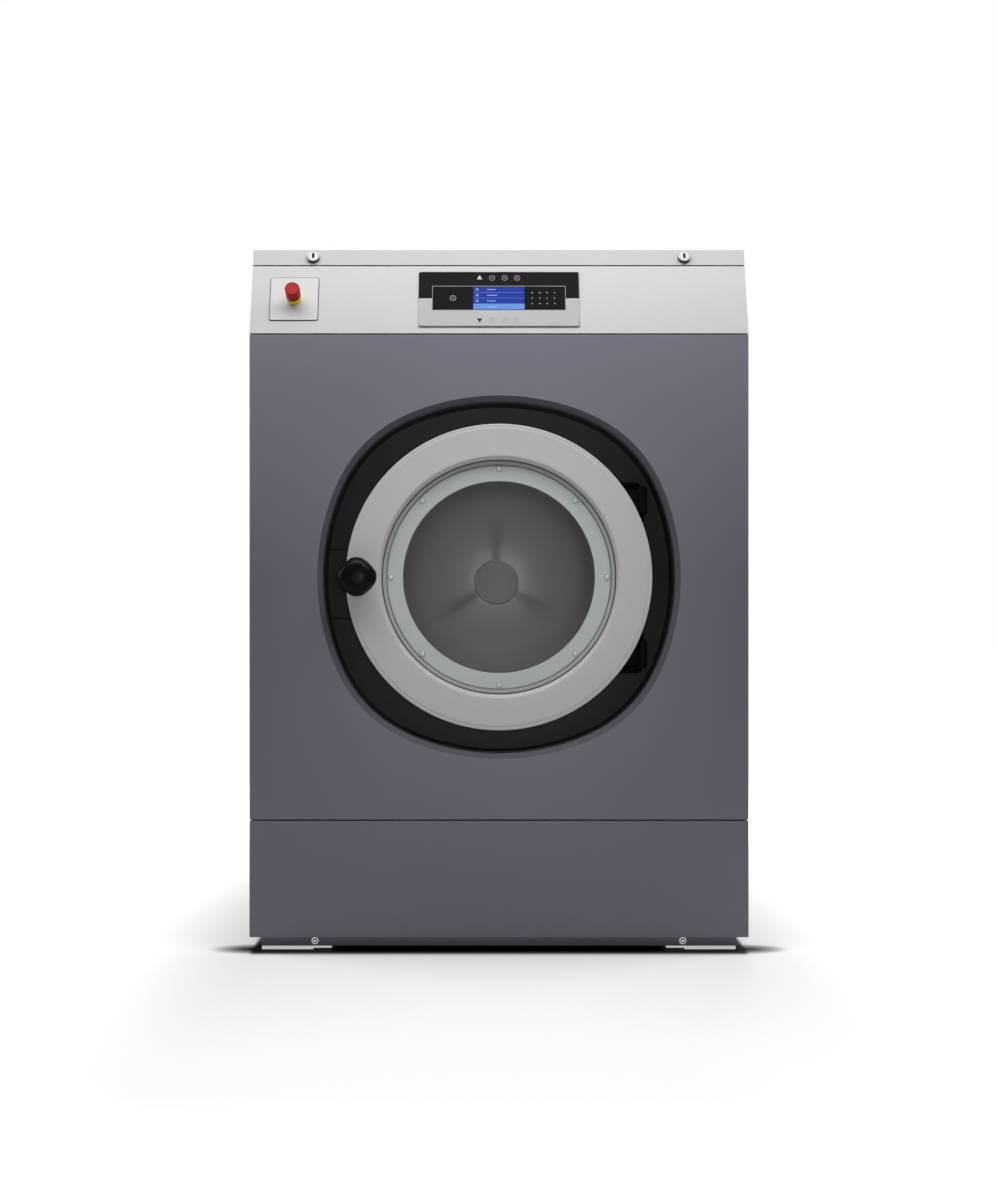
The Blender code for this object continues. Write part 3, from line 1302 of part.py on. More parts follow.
# The belt's line around both pulleys, at a stated distance outside their rims.
def belt_outline(outward):
    big_steps, small_steps = 24, 8
    big = (PULLEY_RADIUS + outward) / math.cos(math.pi / big_steps / 2)
    small = (MOTOR_PULLEY_RADIUS + outward) / math.cos(math.pi / small_steps / 2)
    apart = Vector((MOTOR_OFFSET, MOTOR_HEIGHT - AXIS_HEIGHT))
    heading = math.atan2(apart.y, apart.x)
    spread = math.acos((big - small) / apart.length)
    points = []
    for step in range(big_steps + 1):
        angle = heading + spread + (2 * math.pi - 2 * spread) * step / big_steps
        points.append((big * math.cos(angle), AXIS_HEIGHT + big * math.sin(angle)))
    for step in range(small_steps + 1):
        angle = heading - spread + 2 * spread * step / small_steps
        points.append((MOTOR_OFFSET + small * math.cos(angle), MOTOR_HEIGHT + small * math.sin(angle)))
    return points


def make_drive_belt():
    start, end = depth(PULLEY_FRONT + BELT_EDGE), depth(PULLEY_REAR - BELT_EDGE)
    inner, outer = belt_outline(2 * GAP), belt_outline(2 * GAP + BELT_THICKNESS)
    rows = ((outer, start), (outer, end), (inner, end), (inner, start))
    loops = [[Vector((x, y, z)) for x, z in outline] for outline, y in rows]
    return loft("drive_belt", loops, "rubber", ring=True)


MOTOR_REAR = PULLEY_FRONT - MOTOR_PULLEY_GAP
MOTOR_FRONT = MOTOR_REAR - MOTOR_LENGTH
MOTOR_CENTRE = (MOTOR_OFFSET, FRONT_Y, MOTOR_HEIGHT)


def make_motor_body():
    socket = MOTOR_SHAFT_RADIUS + GAP
    profile = [
        (MOTOR_RADIUS, MOTOR_FRONT),
        (MOTOR_RADIUS, MOTOR_REAR),
        (socket, MOTOR_REAR),
        (socket, MOTOR_REAR - MOTOR_SHAFT_DEPTH - GAP),
    ]
    motor = turned("motor_body", MOTOR_CENTRE, BACKWARD, profile, "motor_paint", MIDDLE_FACETS)
    middle = (MOTOR_FRONT + MOTOR_REAR) / 2
    half_width, half_depth = MOTOR_FOOT_WIDTH / 2, FRAME_RAIL / 2
    low = (MOTOR_OFFSET - half_width, depth(middle) - half_depth, FRAME_TOP + GAP)
    high = (MOTOR_OFFSET + half_width, depth(middle) + half_depth, MOTOR_HEIGHT - MOTOR_RADIUS / 2)
    return add(motor, block("motor_foot", low, high, "motor_paint"))


def make_motor_pulley():
    profile = [
        (MOTOR_SHAFT_RADIUS, MOTOR_REAR - MOTOR_SHAFT_DEPTH),
        (MOTOR_SHAFT_RADIUS, PULLEY_FRONT),
        (MOTOR_PULLEY_RADIUS, PULLEY_FRONT),
        (MOTOR_PULLEY_RADIUS, PULLEY_REAR),
    ]
    return turned("motor_pulley", MOTOR_CENTRE, BACKWARD, profile, "steel", MIDDLE_FACETS)


# Frame, plinth and feet

FRAME_FRONT = PLINTH_SETBACK + SHEET + GAP
FRAME_REAR = BODY_DEPTH - SHEET - GAP
CRADLE_FRONT_START = TUB_FRONT + CRADLE_FRONT_SETIN
CRADLE_REAR_START = TUB_BACK - CRADLE_REAR_SETIN


def make_base_frame():
    low = (-FRAME_HALF, depth(FRAME_FRONT), FRAME_BASE)
    high = (FRAME_HALF, depth(FRAME_REAR), FRAME_TOP)
    frame = block("base_frame", low, high, "frame_paint")
    cross_members = [
        CRADLE_FRONT_START + CRADLE_THICKNESS / 2,
        CRADLE_REAR_START + CRADLE_THICKNESS / 2,
        (MOTOR_FRONT + MOTOR_REAR) / 2,
    ]
    half = FRAME_RAIL / 2
    starts = [FRAME_FRONT + FRAME_RAIL] + [middle + half for middle in cross_members]
    ends = [middle - half for middle in cross_members] + [FRAME_REAR - FRAME_RAIL]
    for index, (start, end) in enumerate(zip(starts, ends)):
        window_low = (FRAME_RAIL - FRAME_HALF, depth(start), FRAME_BASE - OVERRUN)
        window_high = (FRAME_HALF - FRAME_RAIL, depth(end), FRAME_TOP + OVERRUN)
        cut(frame, block(f"frame_window_{index}", window_low, window_high, "frame_paint"))
    return frame


def make_front_plinth():
    low = (-FRAME_HALF, depth(PLINTH_SETBACK), FRAME_BASE)
    high = (FRAME_HALF, depth(PLINTH_SETBACK + SHEET), FRAME_TOP)
    return block("front_plinth", low, high, "grey_paint")


# A corner foot: a sole under a longer plate, its outer top edge bevelled.
def make_foot(name, side, start):
    outer = side * (FRAME_HALF - FOOT_END_GAP)
    toe, tip = outer - side * FOOT_TOE, outer - side * FOOT_LENGTH
    outline = [
        (outer, 0), (toe, 0), (toe, FOOT_SOLE), (tip, FOOT_SOLE), (tip, FOOT_TOP),
        (outer - side * FOOT_CHAMFER, FOOT_TOP), (outer, FOOT_TOP - FOOT_CHAMFER),
    ]
    return prism(name, "Y", outline, depth(start), depth(start + FOOT_DEPTH), "zinc")


# Dispenser and connections

DISPENSER_TOP = BODY_HEIGHT - SHEET - GAP


def make_dispenser_box():
    base = DISPENSER_TOP - DISPENSER_DEPTH
    front, rear = depth(DISPENSER_SETBACK), depth(DISPENSER_SETBACK + DISPENSER_LENGTH)
    low, high = (-DISPENSER_HALF, front, base), (DISPENSER_HALF, rear, DISPENSER_TOP)
    box = block("dispenser_box", low, high, "grey_plastic")
    wall = DISPENSER_WALL
    spout = (0, (front + rear) / 2, 0)
    add(box, rod("dispenser_spout", spout, (0, 0, 1), SPOUT_RADIUS, AXIS_HEIGHT + TUB_RADIUS, base + wall / 2,
                 "grey_plastic"))
    divider_top = DISPENSER_TOP - DISPENSER_DIVIDER_DROP
    mouth_low = (wall - DISPENSER_HALF, front + wall, divider_top)
    mouth_high = (DISPENSER_HALF - wall, rear - wall, DISPENSER_TOP + OVERRUN)
    cut(box, block("dispenser_mouth", mouth_low, mouth_high, "grey_plastic"))
    bin_width = (2 * DISPENSER_HALF - (DISPENSER_BINS + 1) * wall) / DISPENSER_BINS
    for index in range(DISPENSER_BINS):
        left = wall - DISPENSER_HALF + index * (bin_width + wall)
        bin_low = (left, front + wall, base + wall)
        bin_high = (left + bin_width, rear - wall, divider_top + wall)
        cut(box, block(f"dispenser_bin_{index}", bin_low, bin_high, "grey_plastic"))
    return box


def make_dispenser_lid():
    front = depth(DISPENSER_SETBACK - LID_LAP)
    low = (-LID_HALF, front, BODY_HEIGHT + GAP)
    high = (LID_HALF, LID_AXIS_Y, BODY_HEIGHT + GAP + LID_THICKNESS)
    lid = block("dispenser_lid", low, high, "silver_paint")
    axis = (0, LID_AXIS_Y, LID_AXIS_Z)
    half = LID_HALF
    add(lid, rod("lid_barrel", axis, (1, 0, 0), LID_BARREL_RADIUS, -half, half, "silver_paint"))
    reach = LID_HALF + LID_EAR_SLOT + LID_EAR / 2
    return add(lid, rod("lid_pins", axis, (1, 0, 0), LID_PIN_RADIUS, -reach, reach, "silver_paint"))


def make_drain_valve():
    drain_y = depth(TUB_BACK - DRAIN_SETIN)
    centre = (0, drain_y, DRAIN_HEIGHT)
    top = AXIS_HEIGHT - TUB_OUTER - GAP - DRAIN_HEIGHT
    body = rod("drain_valve", centre, (0, 0, 1), DRAIN_BODY_RADIUS, -DRAIN_BODY_RADIUS, top, "grey_plastic",
               MIDDLE_FACETS)
    end = REAR_Y + REAR_REACH - drain_y
    add(body, rod("drain_pipe", centre, BACKWARD, DRAIN_PIPE_RADIUS, 0, end, "grey_plastic", MIDDLE_FACETS))
    bore_start = end - DRAIN_BORE_DEPTH
    return cut(body, rod("drain_bore", centre, BACKWARD, DRAIN_BORE_RADIUS, bore_start, end + OVERRUN,
                         "grey_plastic", MIDDLE_FACETS))


def make_water_inlet():
    rear = REAR_Y - SHEET - GAP
    low = (-INLET_BODY_HALF, rear - INLET_BODY_DEPTH, INLET_HEIGHT - INLET_BODY_RISE)
    high = (INLET_BODY_HALF, rear, INLET_HEIGHT + INLET_BODY_RISE)
    body = block("water_inlet_valve", low, high, "grey_plastic")
    for side, word in ((-1, "cold"), (1, "hot")):
        centre = (side * INLET_OFFSET, REAR_Y, INLET_HEIGHT)
        root = -INLET_BODY_DEPTH / 2
        add(body, rod(f"inlet_{word}", centre, BACKWARD, INLET_RADIUS, root, INLET_REACH, "steel"))
        bore_start = INLET_REACH - INLET_BORE_DEPTH
        cut(body, rod(f"inlet_bore_{word}", centre, BACKWARD, INLET_BORE_RADIUS, bore_start,
                      INLET_REACH + OVERRUN, "steel"))
    pipe = (0, 0, INLET_HEIGHT)
    start = depth(DISPENSER_SETBACK + DISPENSER_LENGTH + GAP)
    end = rear - INLET_BODY_DEPTH / 2
    return add(body, rod("feed_pipe", pipe, BACKWARD, FEED_PIPE_RADIUS, start, end, "steel"))


def make_mains_box():
    low = (MAINS_BOX_OFFSET - MAINS_BOX_HALF, REAR_Y + GAP, MAINS_BOX_BASE)
    high = (MAINS_BOX_OFFSET + MAINS_BOX_HALF, REAR_Y + MAINS_BOX_DEPTH, MAINS_BOX_BASE + MAINS_BOX_HEIGHT)
    box = block("mains_terminal_box", low, high, "grey_plastic")
    gland = (MAINS_BOX_OFFSET, REAR_Y + MAINS_BOX_DEPTH / 2, MAINS_BOX_BASE)
    reach = GLAND_LENGTH
    return add(box, rod("mains_gland", gland, (0, 0, 1), GLAND_RADIUS, -reach, reach, "grey_plastic"))


# An empty on a joint's axis carries the pieces that move about it, with their cutters.
def pivot(name, place, parent=None):
    marker = bpy.data.objects.new(name, None)
    marker.location = Vector(place)
    if parent:
        marker.parent = parent
        marker.location = Vector(place) - world_place(parent)
    bpy.context.scene.collection.objects.link(marker)
    return marker


def world_place(marker):
    place = marker.location.copy()
    while marker.parent:
        marker = marker.parent
        place += marker.location
    return place


def carry(marker, pieces):
    for piece in pieces:
        tools = [step.object for step in piece.modifiers if step.type == "BOOLEAN"]
        for item in [piece] + tools:
            item.parent = marker
            item.location = item.location - world_place(marker)


def build_casing():
    make_base_frame()
    make_front_plinth()
    rear_foot = FRAME_REAR - FOOT_DEPTH
    for side, word in ((-1, "left"), (1, "right")):
        make_foot(f"foot_front_{word}", side, FRAME_FRONT)
        make_foot(f"foot_rear_{word}", side, rear_foot)
        make_side_panel(f"side_panel_{word}", side)
        make_top_hinge(side, word)
    make_rear_panel()
    make_front_panel()
    make_lower_front_panel()
    make_control_fascia()
    make_display_bezel()
    make_display_window()
    make_estop_plate()
    make_estop_collar()
    make_door_surround()
    make_latch_block()
    make_hinge_bracket(1, "upper")
    make_hinge_bracket(-1, "lower")


def build_tub_and_fittings():
    make_tub_front()
    make_tub_shell()
    make_door_gasket()
    make_tub_cradle("front", CRADLE_FRONT_START)
    make_tub_cradle("rear", CRADLE_REAR_START)
    make_bearing_housing()
    make_bearing("front", HOUSING_FRONT + BEARING_SETIN)
    make_bearing("rear", HOUSING_REAR - BEARING_SETIN - BEARING_WIDTH)
    make_motor_body()
    make_drive_belt()
    make_drain_valve()
    make_water_inlet()
    make_mains_box()
    make_dispenser_box()


def build_cover():
    cover_axis = pivot("cover_axis", (0, COVER_HINGE_Y, COVER_HINGE_Z))
    carry(cover_axis, [make_top_cover()])
    for side, word in ((-1, "left"), (1, "right")):
        carry(cover_axis, [make_lock_barrel(side, word)])
        plug_axis = pivot(f"lock_axis_{word}", face_point(side * LOCK_OFFSET, LOCK_RISE, 0), cover_axis)
        carry(plug_axis, [make_lock_plug(side, word)])
    lid_axis = pivot("lid_axis", (0, LID_AXIS_Y, LID_AXIS_Z), cover_axis)
    carry(lid_axis, [make_dispenser_lid()])


def build_estop():
    push_axis = pivot("estop_axis", ESTOP_CENTRE)
    carry(push_axis, [make_estop_stem()])
    twist_axis = pivot("estop_twist_axis", ESTOP_CENTRE, push_axis)
    carry(twist_axis, [make_estop_head()])


def build_door():
    door_axis = pivot("door_axis", (HINGE_X, depth(HINGE_DEPTH), AXIS_HEIGHT))
    carry(door_axis, [
        make_door_ring(),
        make_clamp_ring(),
        make_door_glass(),
        make_hinge_arm(1, "upper"),
        make_hinge_arm(-1, "lower"),
    ])
    knob_axis = pivot("knob_axis", (KNOB_X, FRONT_Y, AXIS_HEIGHT), door_axis)
    carry(knob_axis, [make_door_knob(), make_latch_shaft()])


def build_drum():
    drum_axis = pivot("drum_axis", DOOR_CENTRE)
    lifters = [make_lifter(angle, word) for angle, word in zip(THIRDS, ("top", "left", "right"))]
    carry(drum_axis, [
        make_drum_basket(),
        make_drum_back(),
        make_hub_cap(),
        make_drum_shaft(),
        make_driven_pulley(),
    ] + lifters)
    motor_axis = pivot("motor_axis", MOTOR_CENTRE)
    carry(motor_axis, [make_motor_pulley()])


def main():
    clear_scene()
    build_casing()
    build_tub_and_fittings()
    build_cover()
    build_estop()
    build_door()
    build_drum()


main()
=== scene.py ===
import math

import bmesh
import bpy
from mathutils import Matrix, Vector


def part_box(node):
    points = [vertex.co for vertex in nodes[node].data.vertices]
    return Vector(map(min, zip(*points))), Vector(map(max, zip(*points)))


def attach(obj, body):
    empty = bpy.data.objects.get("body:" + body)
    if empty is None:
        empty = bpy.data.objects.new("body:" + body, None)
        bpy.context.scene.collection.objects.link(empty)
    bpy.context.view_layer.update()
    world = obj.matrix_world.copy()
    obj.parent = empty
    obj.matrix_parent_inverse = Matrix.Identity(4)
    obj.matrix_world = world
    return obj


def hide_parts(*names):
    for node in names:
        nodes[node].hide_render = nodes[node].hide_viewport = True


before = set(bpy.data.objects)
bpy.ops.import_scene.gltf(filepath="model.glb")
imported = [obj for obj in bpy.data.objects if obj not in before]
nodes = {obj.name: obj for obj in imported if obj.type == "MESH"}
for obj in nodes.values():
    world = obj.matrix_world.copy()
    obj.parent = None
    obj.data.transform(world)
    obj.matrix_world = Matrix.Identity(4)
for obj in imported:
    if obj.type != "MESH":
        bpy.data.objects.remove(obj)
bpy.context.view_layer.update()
print("frame loaded:", len(nodes), "nodes")

panelLow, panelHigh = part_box("front_panel")
ringLow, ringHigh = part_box("door_ring")
frontY = panelLow.y  # plane of the front panel
axisZ = (ringLow.z + ringHigh.z) / 2  # height of the door and drum axis
axisPlace = (0, frontY, axisZ)
leanAngle = math.radians(19.4)  # the control face leans back by this
uprightTilt = math.radians(90)
faceTilt = uprightTilt - leanAngle
through = 0.01  # how far a cutting tool runs past the piece
sliver = 0.00005  # points closer than this to a plane lie in it


# Selection and modes


def leaveEdit():
    if bpy.context.object and bpy.context.object.mode != "OBJECT":
        bpy.ops.object.mode_set(mode="OBJECT")


def selectOnly(body):
    leaveEdit()
    bpy.ops.object.select_all(action="DESELECT")
    body.select_set(True)
    bpy.context.view_layer.objects.active = body


def selectAll():
    bpy.ops.mesh.select_all(action="SELECT")


def editAll():
    bpy.ops.object.mode_set(mode="EDIT")
    selectAll()


def enterEdit(body, mode="VERT"):
    selectOnly(body)
    bpy.ops.object.mode_set(mode="EDIT")
    bpy.ops.mesh.select_mode(type=mode)
    bpy.ops.mesh.select_all(action="DESELECT")


def pickPoints(body, test):  # selects by place, in edit mode
    work = bmesh.from_edit_mesh(body.data)
    for element in list(work.verts) + list(work.edges) + list(work.faces):
        element.select = False
    for vertex in work.verts:
        vertex.select = test(vertex.co)
    work.select_flush(True)
    bmesh.update_edit_mesh(body.data)


def cleanMesh(body):
    enterEdit(body)
    selectAll()
    bpy.ops.mesh.remove_doubles(threshold=0.000005)
    bpy.ops.mesh.dissolve_degenerate(threshold=0.000002)
    bpy.ops.mesh.delete_loose()
    selectAll()
    bpy.ops.mesh.normals_make_consistent(inside=False)
    leaveEdit()


def flipFaces(body):
    enterEdit(body)
    selectAll()
    bpy.ops.mesh.flip_normals()
    leaveEdit()


def applyModifier(body, kind, **settings):
    selectOnly(body)
    step = body.modifiers.new(kind.lower(), kind)
    for key, value in settings.items():
        setattr(step, key, value)
    bpy.ops.object.modifier_apply(modifier=step.name)


def roundEdges(body, width, segments=3, angle=30):
    applyModifier(body, "BEVEL", width=width, segments=segments, limit_method="ANGLE",
                  angle_limit=math.radians(angle), use_clamp_overlap=True)


def cutWith(body, tool, operation="DIFFERENCE"):
    applyModifier(body, "BOOLEAN", operation=operation, object=tool)
    bpy.data.objects.remove(tool, do_unlink=True)


# Starting shapes


def addShape(addPrimitive, **settings):  # a primitive with nothing else selected
    leaveEdit()
    bpy.ops.object.select_all(action="DESELECT")
    addPrimitive(**settings)
    return bpy.context.object


def extrudeBy(vector):
    bpy.ops.mesh.extrude_region_move(TRANSFORM_OT_translate={"value": vector})


def moveAside(body, x=0.0, y=0.0):
    selectOnly(body)
    body.location = (x, y, 0)
    bpy.ops.object.transform_apply(location=True)


# A closed outline of radius and height, spun about Z.
def spinOutline(outline, steps):
    body = addShape(bpy.ops.mesh.primitive_circle_add, vertices=len(outline), radius=1, fill_type="NOTHING")
    for vertex, (radius, height) in zip(body.data.vertices, outline):
        vertex.co = (radius, 0, height)
    editAll()
    bpy.ops.mesh.spin(steps=steps, angle=2 * math.pi, center=(0, 0, 0), axis=(0, 0, 1))
    cleanMesh(body)
    return body


def boreTool(radius, reach, steps):
    return spinOutline([(0, -reach), (radius, -reach), (radius, reach), (0, reach)], steps)


def filletOutline(outline, rounding, steps=4):  # rounds the corners named in rounding: {corner: radius}
    points = []
    count = len(outline)
    for index, corner in enumerate(outline):
        if index not in rounding:
            points.append(corner)
            continue
        here = Vector(corner)
        before, after = Vector(outline[index - 1]), Vector(outline[(index + 1) % count])
        arriving, leaving = (before - here).normalized(), (after - here).normalized()
        half = arriving.angle(leaving) / 2
        reach = rounding[index] / math.tan(half)
        middle = here + (arriving + leaving).normalized() * (rounding[index] / math.sin(half))
        first, last = here + arriving * reach - middle, here + leaving * reach - middle
        turn = first.angle_signed(last)
        for step in range(steps + 1):
            angle = -turn * step / steps
            cosine, sine = math.cos(angle), math.sin(angle)
            spoke = Vector((first.x * cosine - first.y * sine, first.x * sine + first.y * cosine))
            points.append(tuple(middle + spoke))
    return points


def domeOutline(radius, height, rim, steps):  # a low round screw head with a straight rim
    outline = [(0, 0), (radius, 0), (radius, rim)]
    for step in range(1, steps):
        angle = math.pi / 2 * step / steps
        outline.append((radius * math.cos(angle), rim + (height - rim) * math.sin(angle)))
    return outline + [(0, height)]


# A plate with round corners, from a plane whose corners are bevelled before it is pulled up.
def makePlate(width, height, base, top, corner):
    body = addShape(bpy.ops.mesh.primitive_plane_add, size=1, location=(0, 0, 0))
    editAll()
    bpy.ops.transform.resize(value=(width, height, 1))
    bpy.ops.transform.translate(value=(0, 0, base))
    if corner > 0:
        bpy.ops.mesh.bevel(offset=corner, segments=6, affect="VERTICES")
        selectAll()
    extrudeBy((0, 0, top - base))
    cleanMesh(body)
    return body


def makeBlock(low, high):  # a box between two corners, for cutting
    middle = (Vector(low) + Vector(high)) / 2
    body = addShape(bpy.ops.mesh.primitive_cube_add, size=1, location=middle)
    body.scale = Vector(high) - Vector(low)
    bpy.ops.object.transform_apply(location=True, rotation=True, scale=True)
    return body


# Finishing a piece. Pieces are modelled flat on the bench, X to the right, Y up and Z towards the eye.


def smoothByAngle(body, angle=30):
    selectOnly(body)
    bpy.ops.object.shade_smooth_by_angle(angle=math.radians(angle))


def standUp(body, place, tilt=uprightTilt):
    selectOnly(body)
    body.rotation_euler = (tilt, 0, 0)
    body.location = place
    bpy.ops.object.transform_apply(location=True, rotation=True, scale=True)


def facePlace(x, rise):  # a place on the leaning control face
    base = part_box("control_fascia")[0].z
    return Vector((x, frontY + rise * math.sin(leanAngle), base + rise * math.cos(leanAngle)))


def finishPiece(body, name, bodyName, finish, replaced=(), even=True):
    body.name = name
    body.data.name = name
    body.data.materials.clear()
    body.data.materials.append(finishes[finish])
    if replaced and even:  # flat faces keep their own normal where a bend or a bevel meets them
        applyModifier(body, "WEIGHTED_NORMAL", keep_sharp=True, weight=80)
    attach(body, bodyName)
    if replaced:
        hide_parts(*replaced)


def addFinish(body, finish, indices):  # a second finish on some of the faces
    body.data.materials.append(finishes[finish])
    last = len(body.data.materials) - 1
    for index in indices:
        body.data.polygons[index].material_index = last


def pickIndices(body, test):  # the faces whose centre or normal passes
    return [face.index for face in body.data.polygons if test(face.center, face.normal)]


def reachOf(point):
    return math.hypot(point.x, point.y)


# Smoothed, stood in place and finished: the way most pieces end.
def settle(body, name, bodyName, finish, replaced=(), place=axisPlace, tilt=uprightTilt, smooth=30,
           even=True):
    if smooth:
        smoothByAngle(body, smooth)
    standUp(body, place, tilt)
    finishPiece(body, name, bodyName, finish, replaced, even)


def copyPiece(source):
    twin = source.copy()
    twin.data = source.data.copy()
    bpy.context.scene.collection.objects.link(twin)
    return twin


# Copies of one model, each with its own mesh, stood at their places; the model itself is then removed.
def placeCopies(source, places, bodyName, finish, tilt=uprightTilt, second=None):
    for name, place in places:
        piece = copyPiece(source)
        standUp(piece, place, tilt)
        finishPiece(piece, name, bodyName, finish)
        if second:
            addFinish(piece, *second)
    bpy.data.objects.remove(source, do_unlink=True)


# Materials


def addNode(tree, kind, **settings):
    node = tree.nodes.new(kind)
    for key, value in settings.items():
        setattr(node, key, value)
    return node


def startMaterial(name, look):
    material = bpy.data.materials.new(name)
    material.use_nodes = True
    tree = material.node_tree
    shader = tree.nodes["Principled BSDF"]
    shader.inputs["Metallic"].default_value = look.get("metallic", 0.0)
    shader.inputs["Roughness"].default_value = look["roughness"]
    shader.inputs["Base Color"].default_value = (*look["colour"], 1)
    shader.inputs["Specular IOR Level"].default_value = look.get("specular", 0.5)
    if look.get("glow"):
        shader.inputs["Emission Color"].default_value = (*look["colour"], 1)
        shader.inputs["Emission Strength"].default_value = look["glow"]
    material.diffuse_color = (*look["colour"], 1)
    place = addNode(tree, "ShaderNodeTexCoord")
    return material, tree, shader, place.outputs["Object"]


def addMapping(tree, vector, scale=(1, 1, 1), location=(0, 0, 0), rotation=(0, 0, 0)):
    mapping = addNode(tree, "ShaderNodeMapping")
    mapping.inputs["Scale"].default_value = scale
    mapping.inputs["Location"].default_value = location
    mapping.inputs["Rotation"].default_value = rotation
    tree.links.new(vector, mapping.inputs["Vector"])
    return mapping.outputs["Vector"]


def addNoise(tree, vector, scale, detail=3.0):
    noise = addNode(tree, "ShaderNodeTexNoise")
    noise.inputs["Scale"].default_value = scale
    noise.inputs["Detail"].default_value = detail
    tree.links.new(vector, noise.inputs["Vector"])
    return noise.outputs[0]


def addRamp(tree, value, stops):
    ramp = addNode(tree, "ShaderNodeValToRGB")
    while len(ramp.color_ramp.elements) < len(stops):
        ramp.color_ramp.elements.new(0.5)
    for element, (position, colour) in zip(ramp.color_ramp.elements, stops):
        element.position = position
        element.color = (*colour, 1)
    tree.links.new(value, ramp.inputs[0])
    return ramp.outputs["Color"]


def addRange(tree, value, low, high, fromLow=0.0, fromHigh=1.0):
    spread = addNode(tree, "ShaderNodeMapRange")
    for key, amount in (("From Min", fromLow), ("From Max", fromHigh), ("To Min", low), ("To Max", high)):
        spread.inputs[key].default_value = amount
    tree.links.new(value, spread.inputs["Value"])
    return spread.outputs["Result"]


def addMath(tree, operation, first, second=None):
    node = addNode(tree, "ShaderNodeMath", operation=operation)
    for socket, value in zip(node.inputs, (first, second)):
        if isinstance(value, (int, float)):
            socket.default_value = value
        elif value is not None:
            tree.links.new(value, socket)
    return node.outputs[0]


def addLength(tree, *sides):  # the length of a step whose sides are given
    squares = [addMath(tree, "MULTIPLY", side, side) for side in sides]
    return addMath(tree, "SQRT", addMath(tree, "ADD", *squares))


def splitVector(tree, vector):
    split = addNode(tree, "ShaderNodeSeparateXYZ")
    tree.links.new(vector, split.inputs[0])
    return split.outputs


def addBump(tree, shader, height, strength, distance):
    bump = addNode(tree, "ShaderNodeBump")
    bump.inputs["Strength"].default_value = strength
    bump.inputs["Distance"].default_value = distance
    tree.links.new(height, bump.inputs["Height"])
    tree.links.new(bump.outputs["Normal"], shader.inputs["Normal"])


def shadeOf(colour, factor):
    return tuple(min(1.0, value * factor) for value in colour)


# Most finishes: a slow drift of colour, a finer drift of gloss and a fine relief.
def makeFinish(name, look):
    material, tree, shader, vector = startMaterial(name, look)
    stretched = addMapping(tree, vector, scale=look.get("stretch", (1, 1, 1)))
    drift = addNoise(tree, stretched, look["driftScale"], detail=4.0)
    darker, paler = shadeOf(look["colour"], 1 - look["drift"]), shadeOf(look["colour"], 1 + look["drift"])
    colours = ((0.3, darker), (0.7, paler))
    tree.links.new(addRamp(tree, drift, colours), shader.inputs["Base Color"])
    gloss = addNoise(tree, stretched, look["grainScale"] / 6, detail=2.0)
    low, high = look["roughness"] - look["roughSpread"], look["roughness"] + look["roughSpread"]
    tree.links.new(addRange(tree, gloss, low, high, 0.3, 0.7), shader.inputs["Roughness"])
    grain = addNoise(tree, stretched, look["grainScale"], detail=2.0)
    addBump(tree, shader, grain, look["bump"], look["bumpDepth"])
    return material


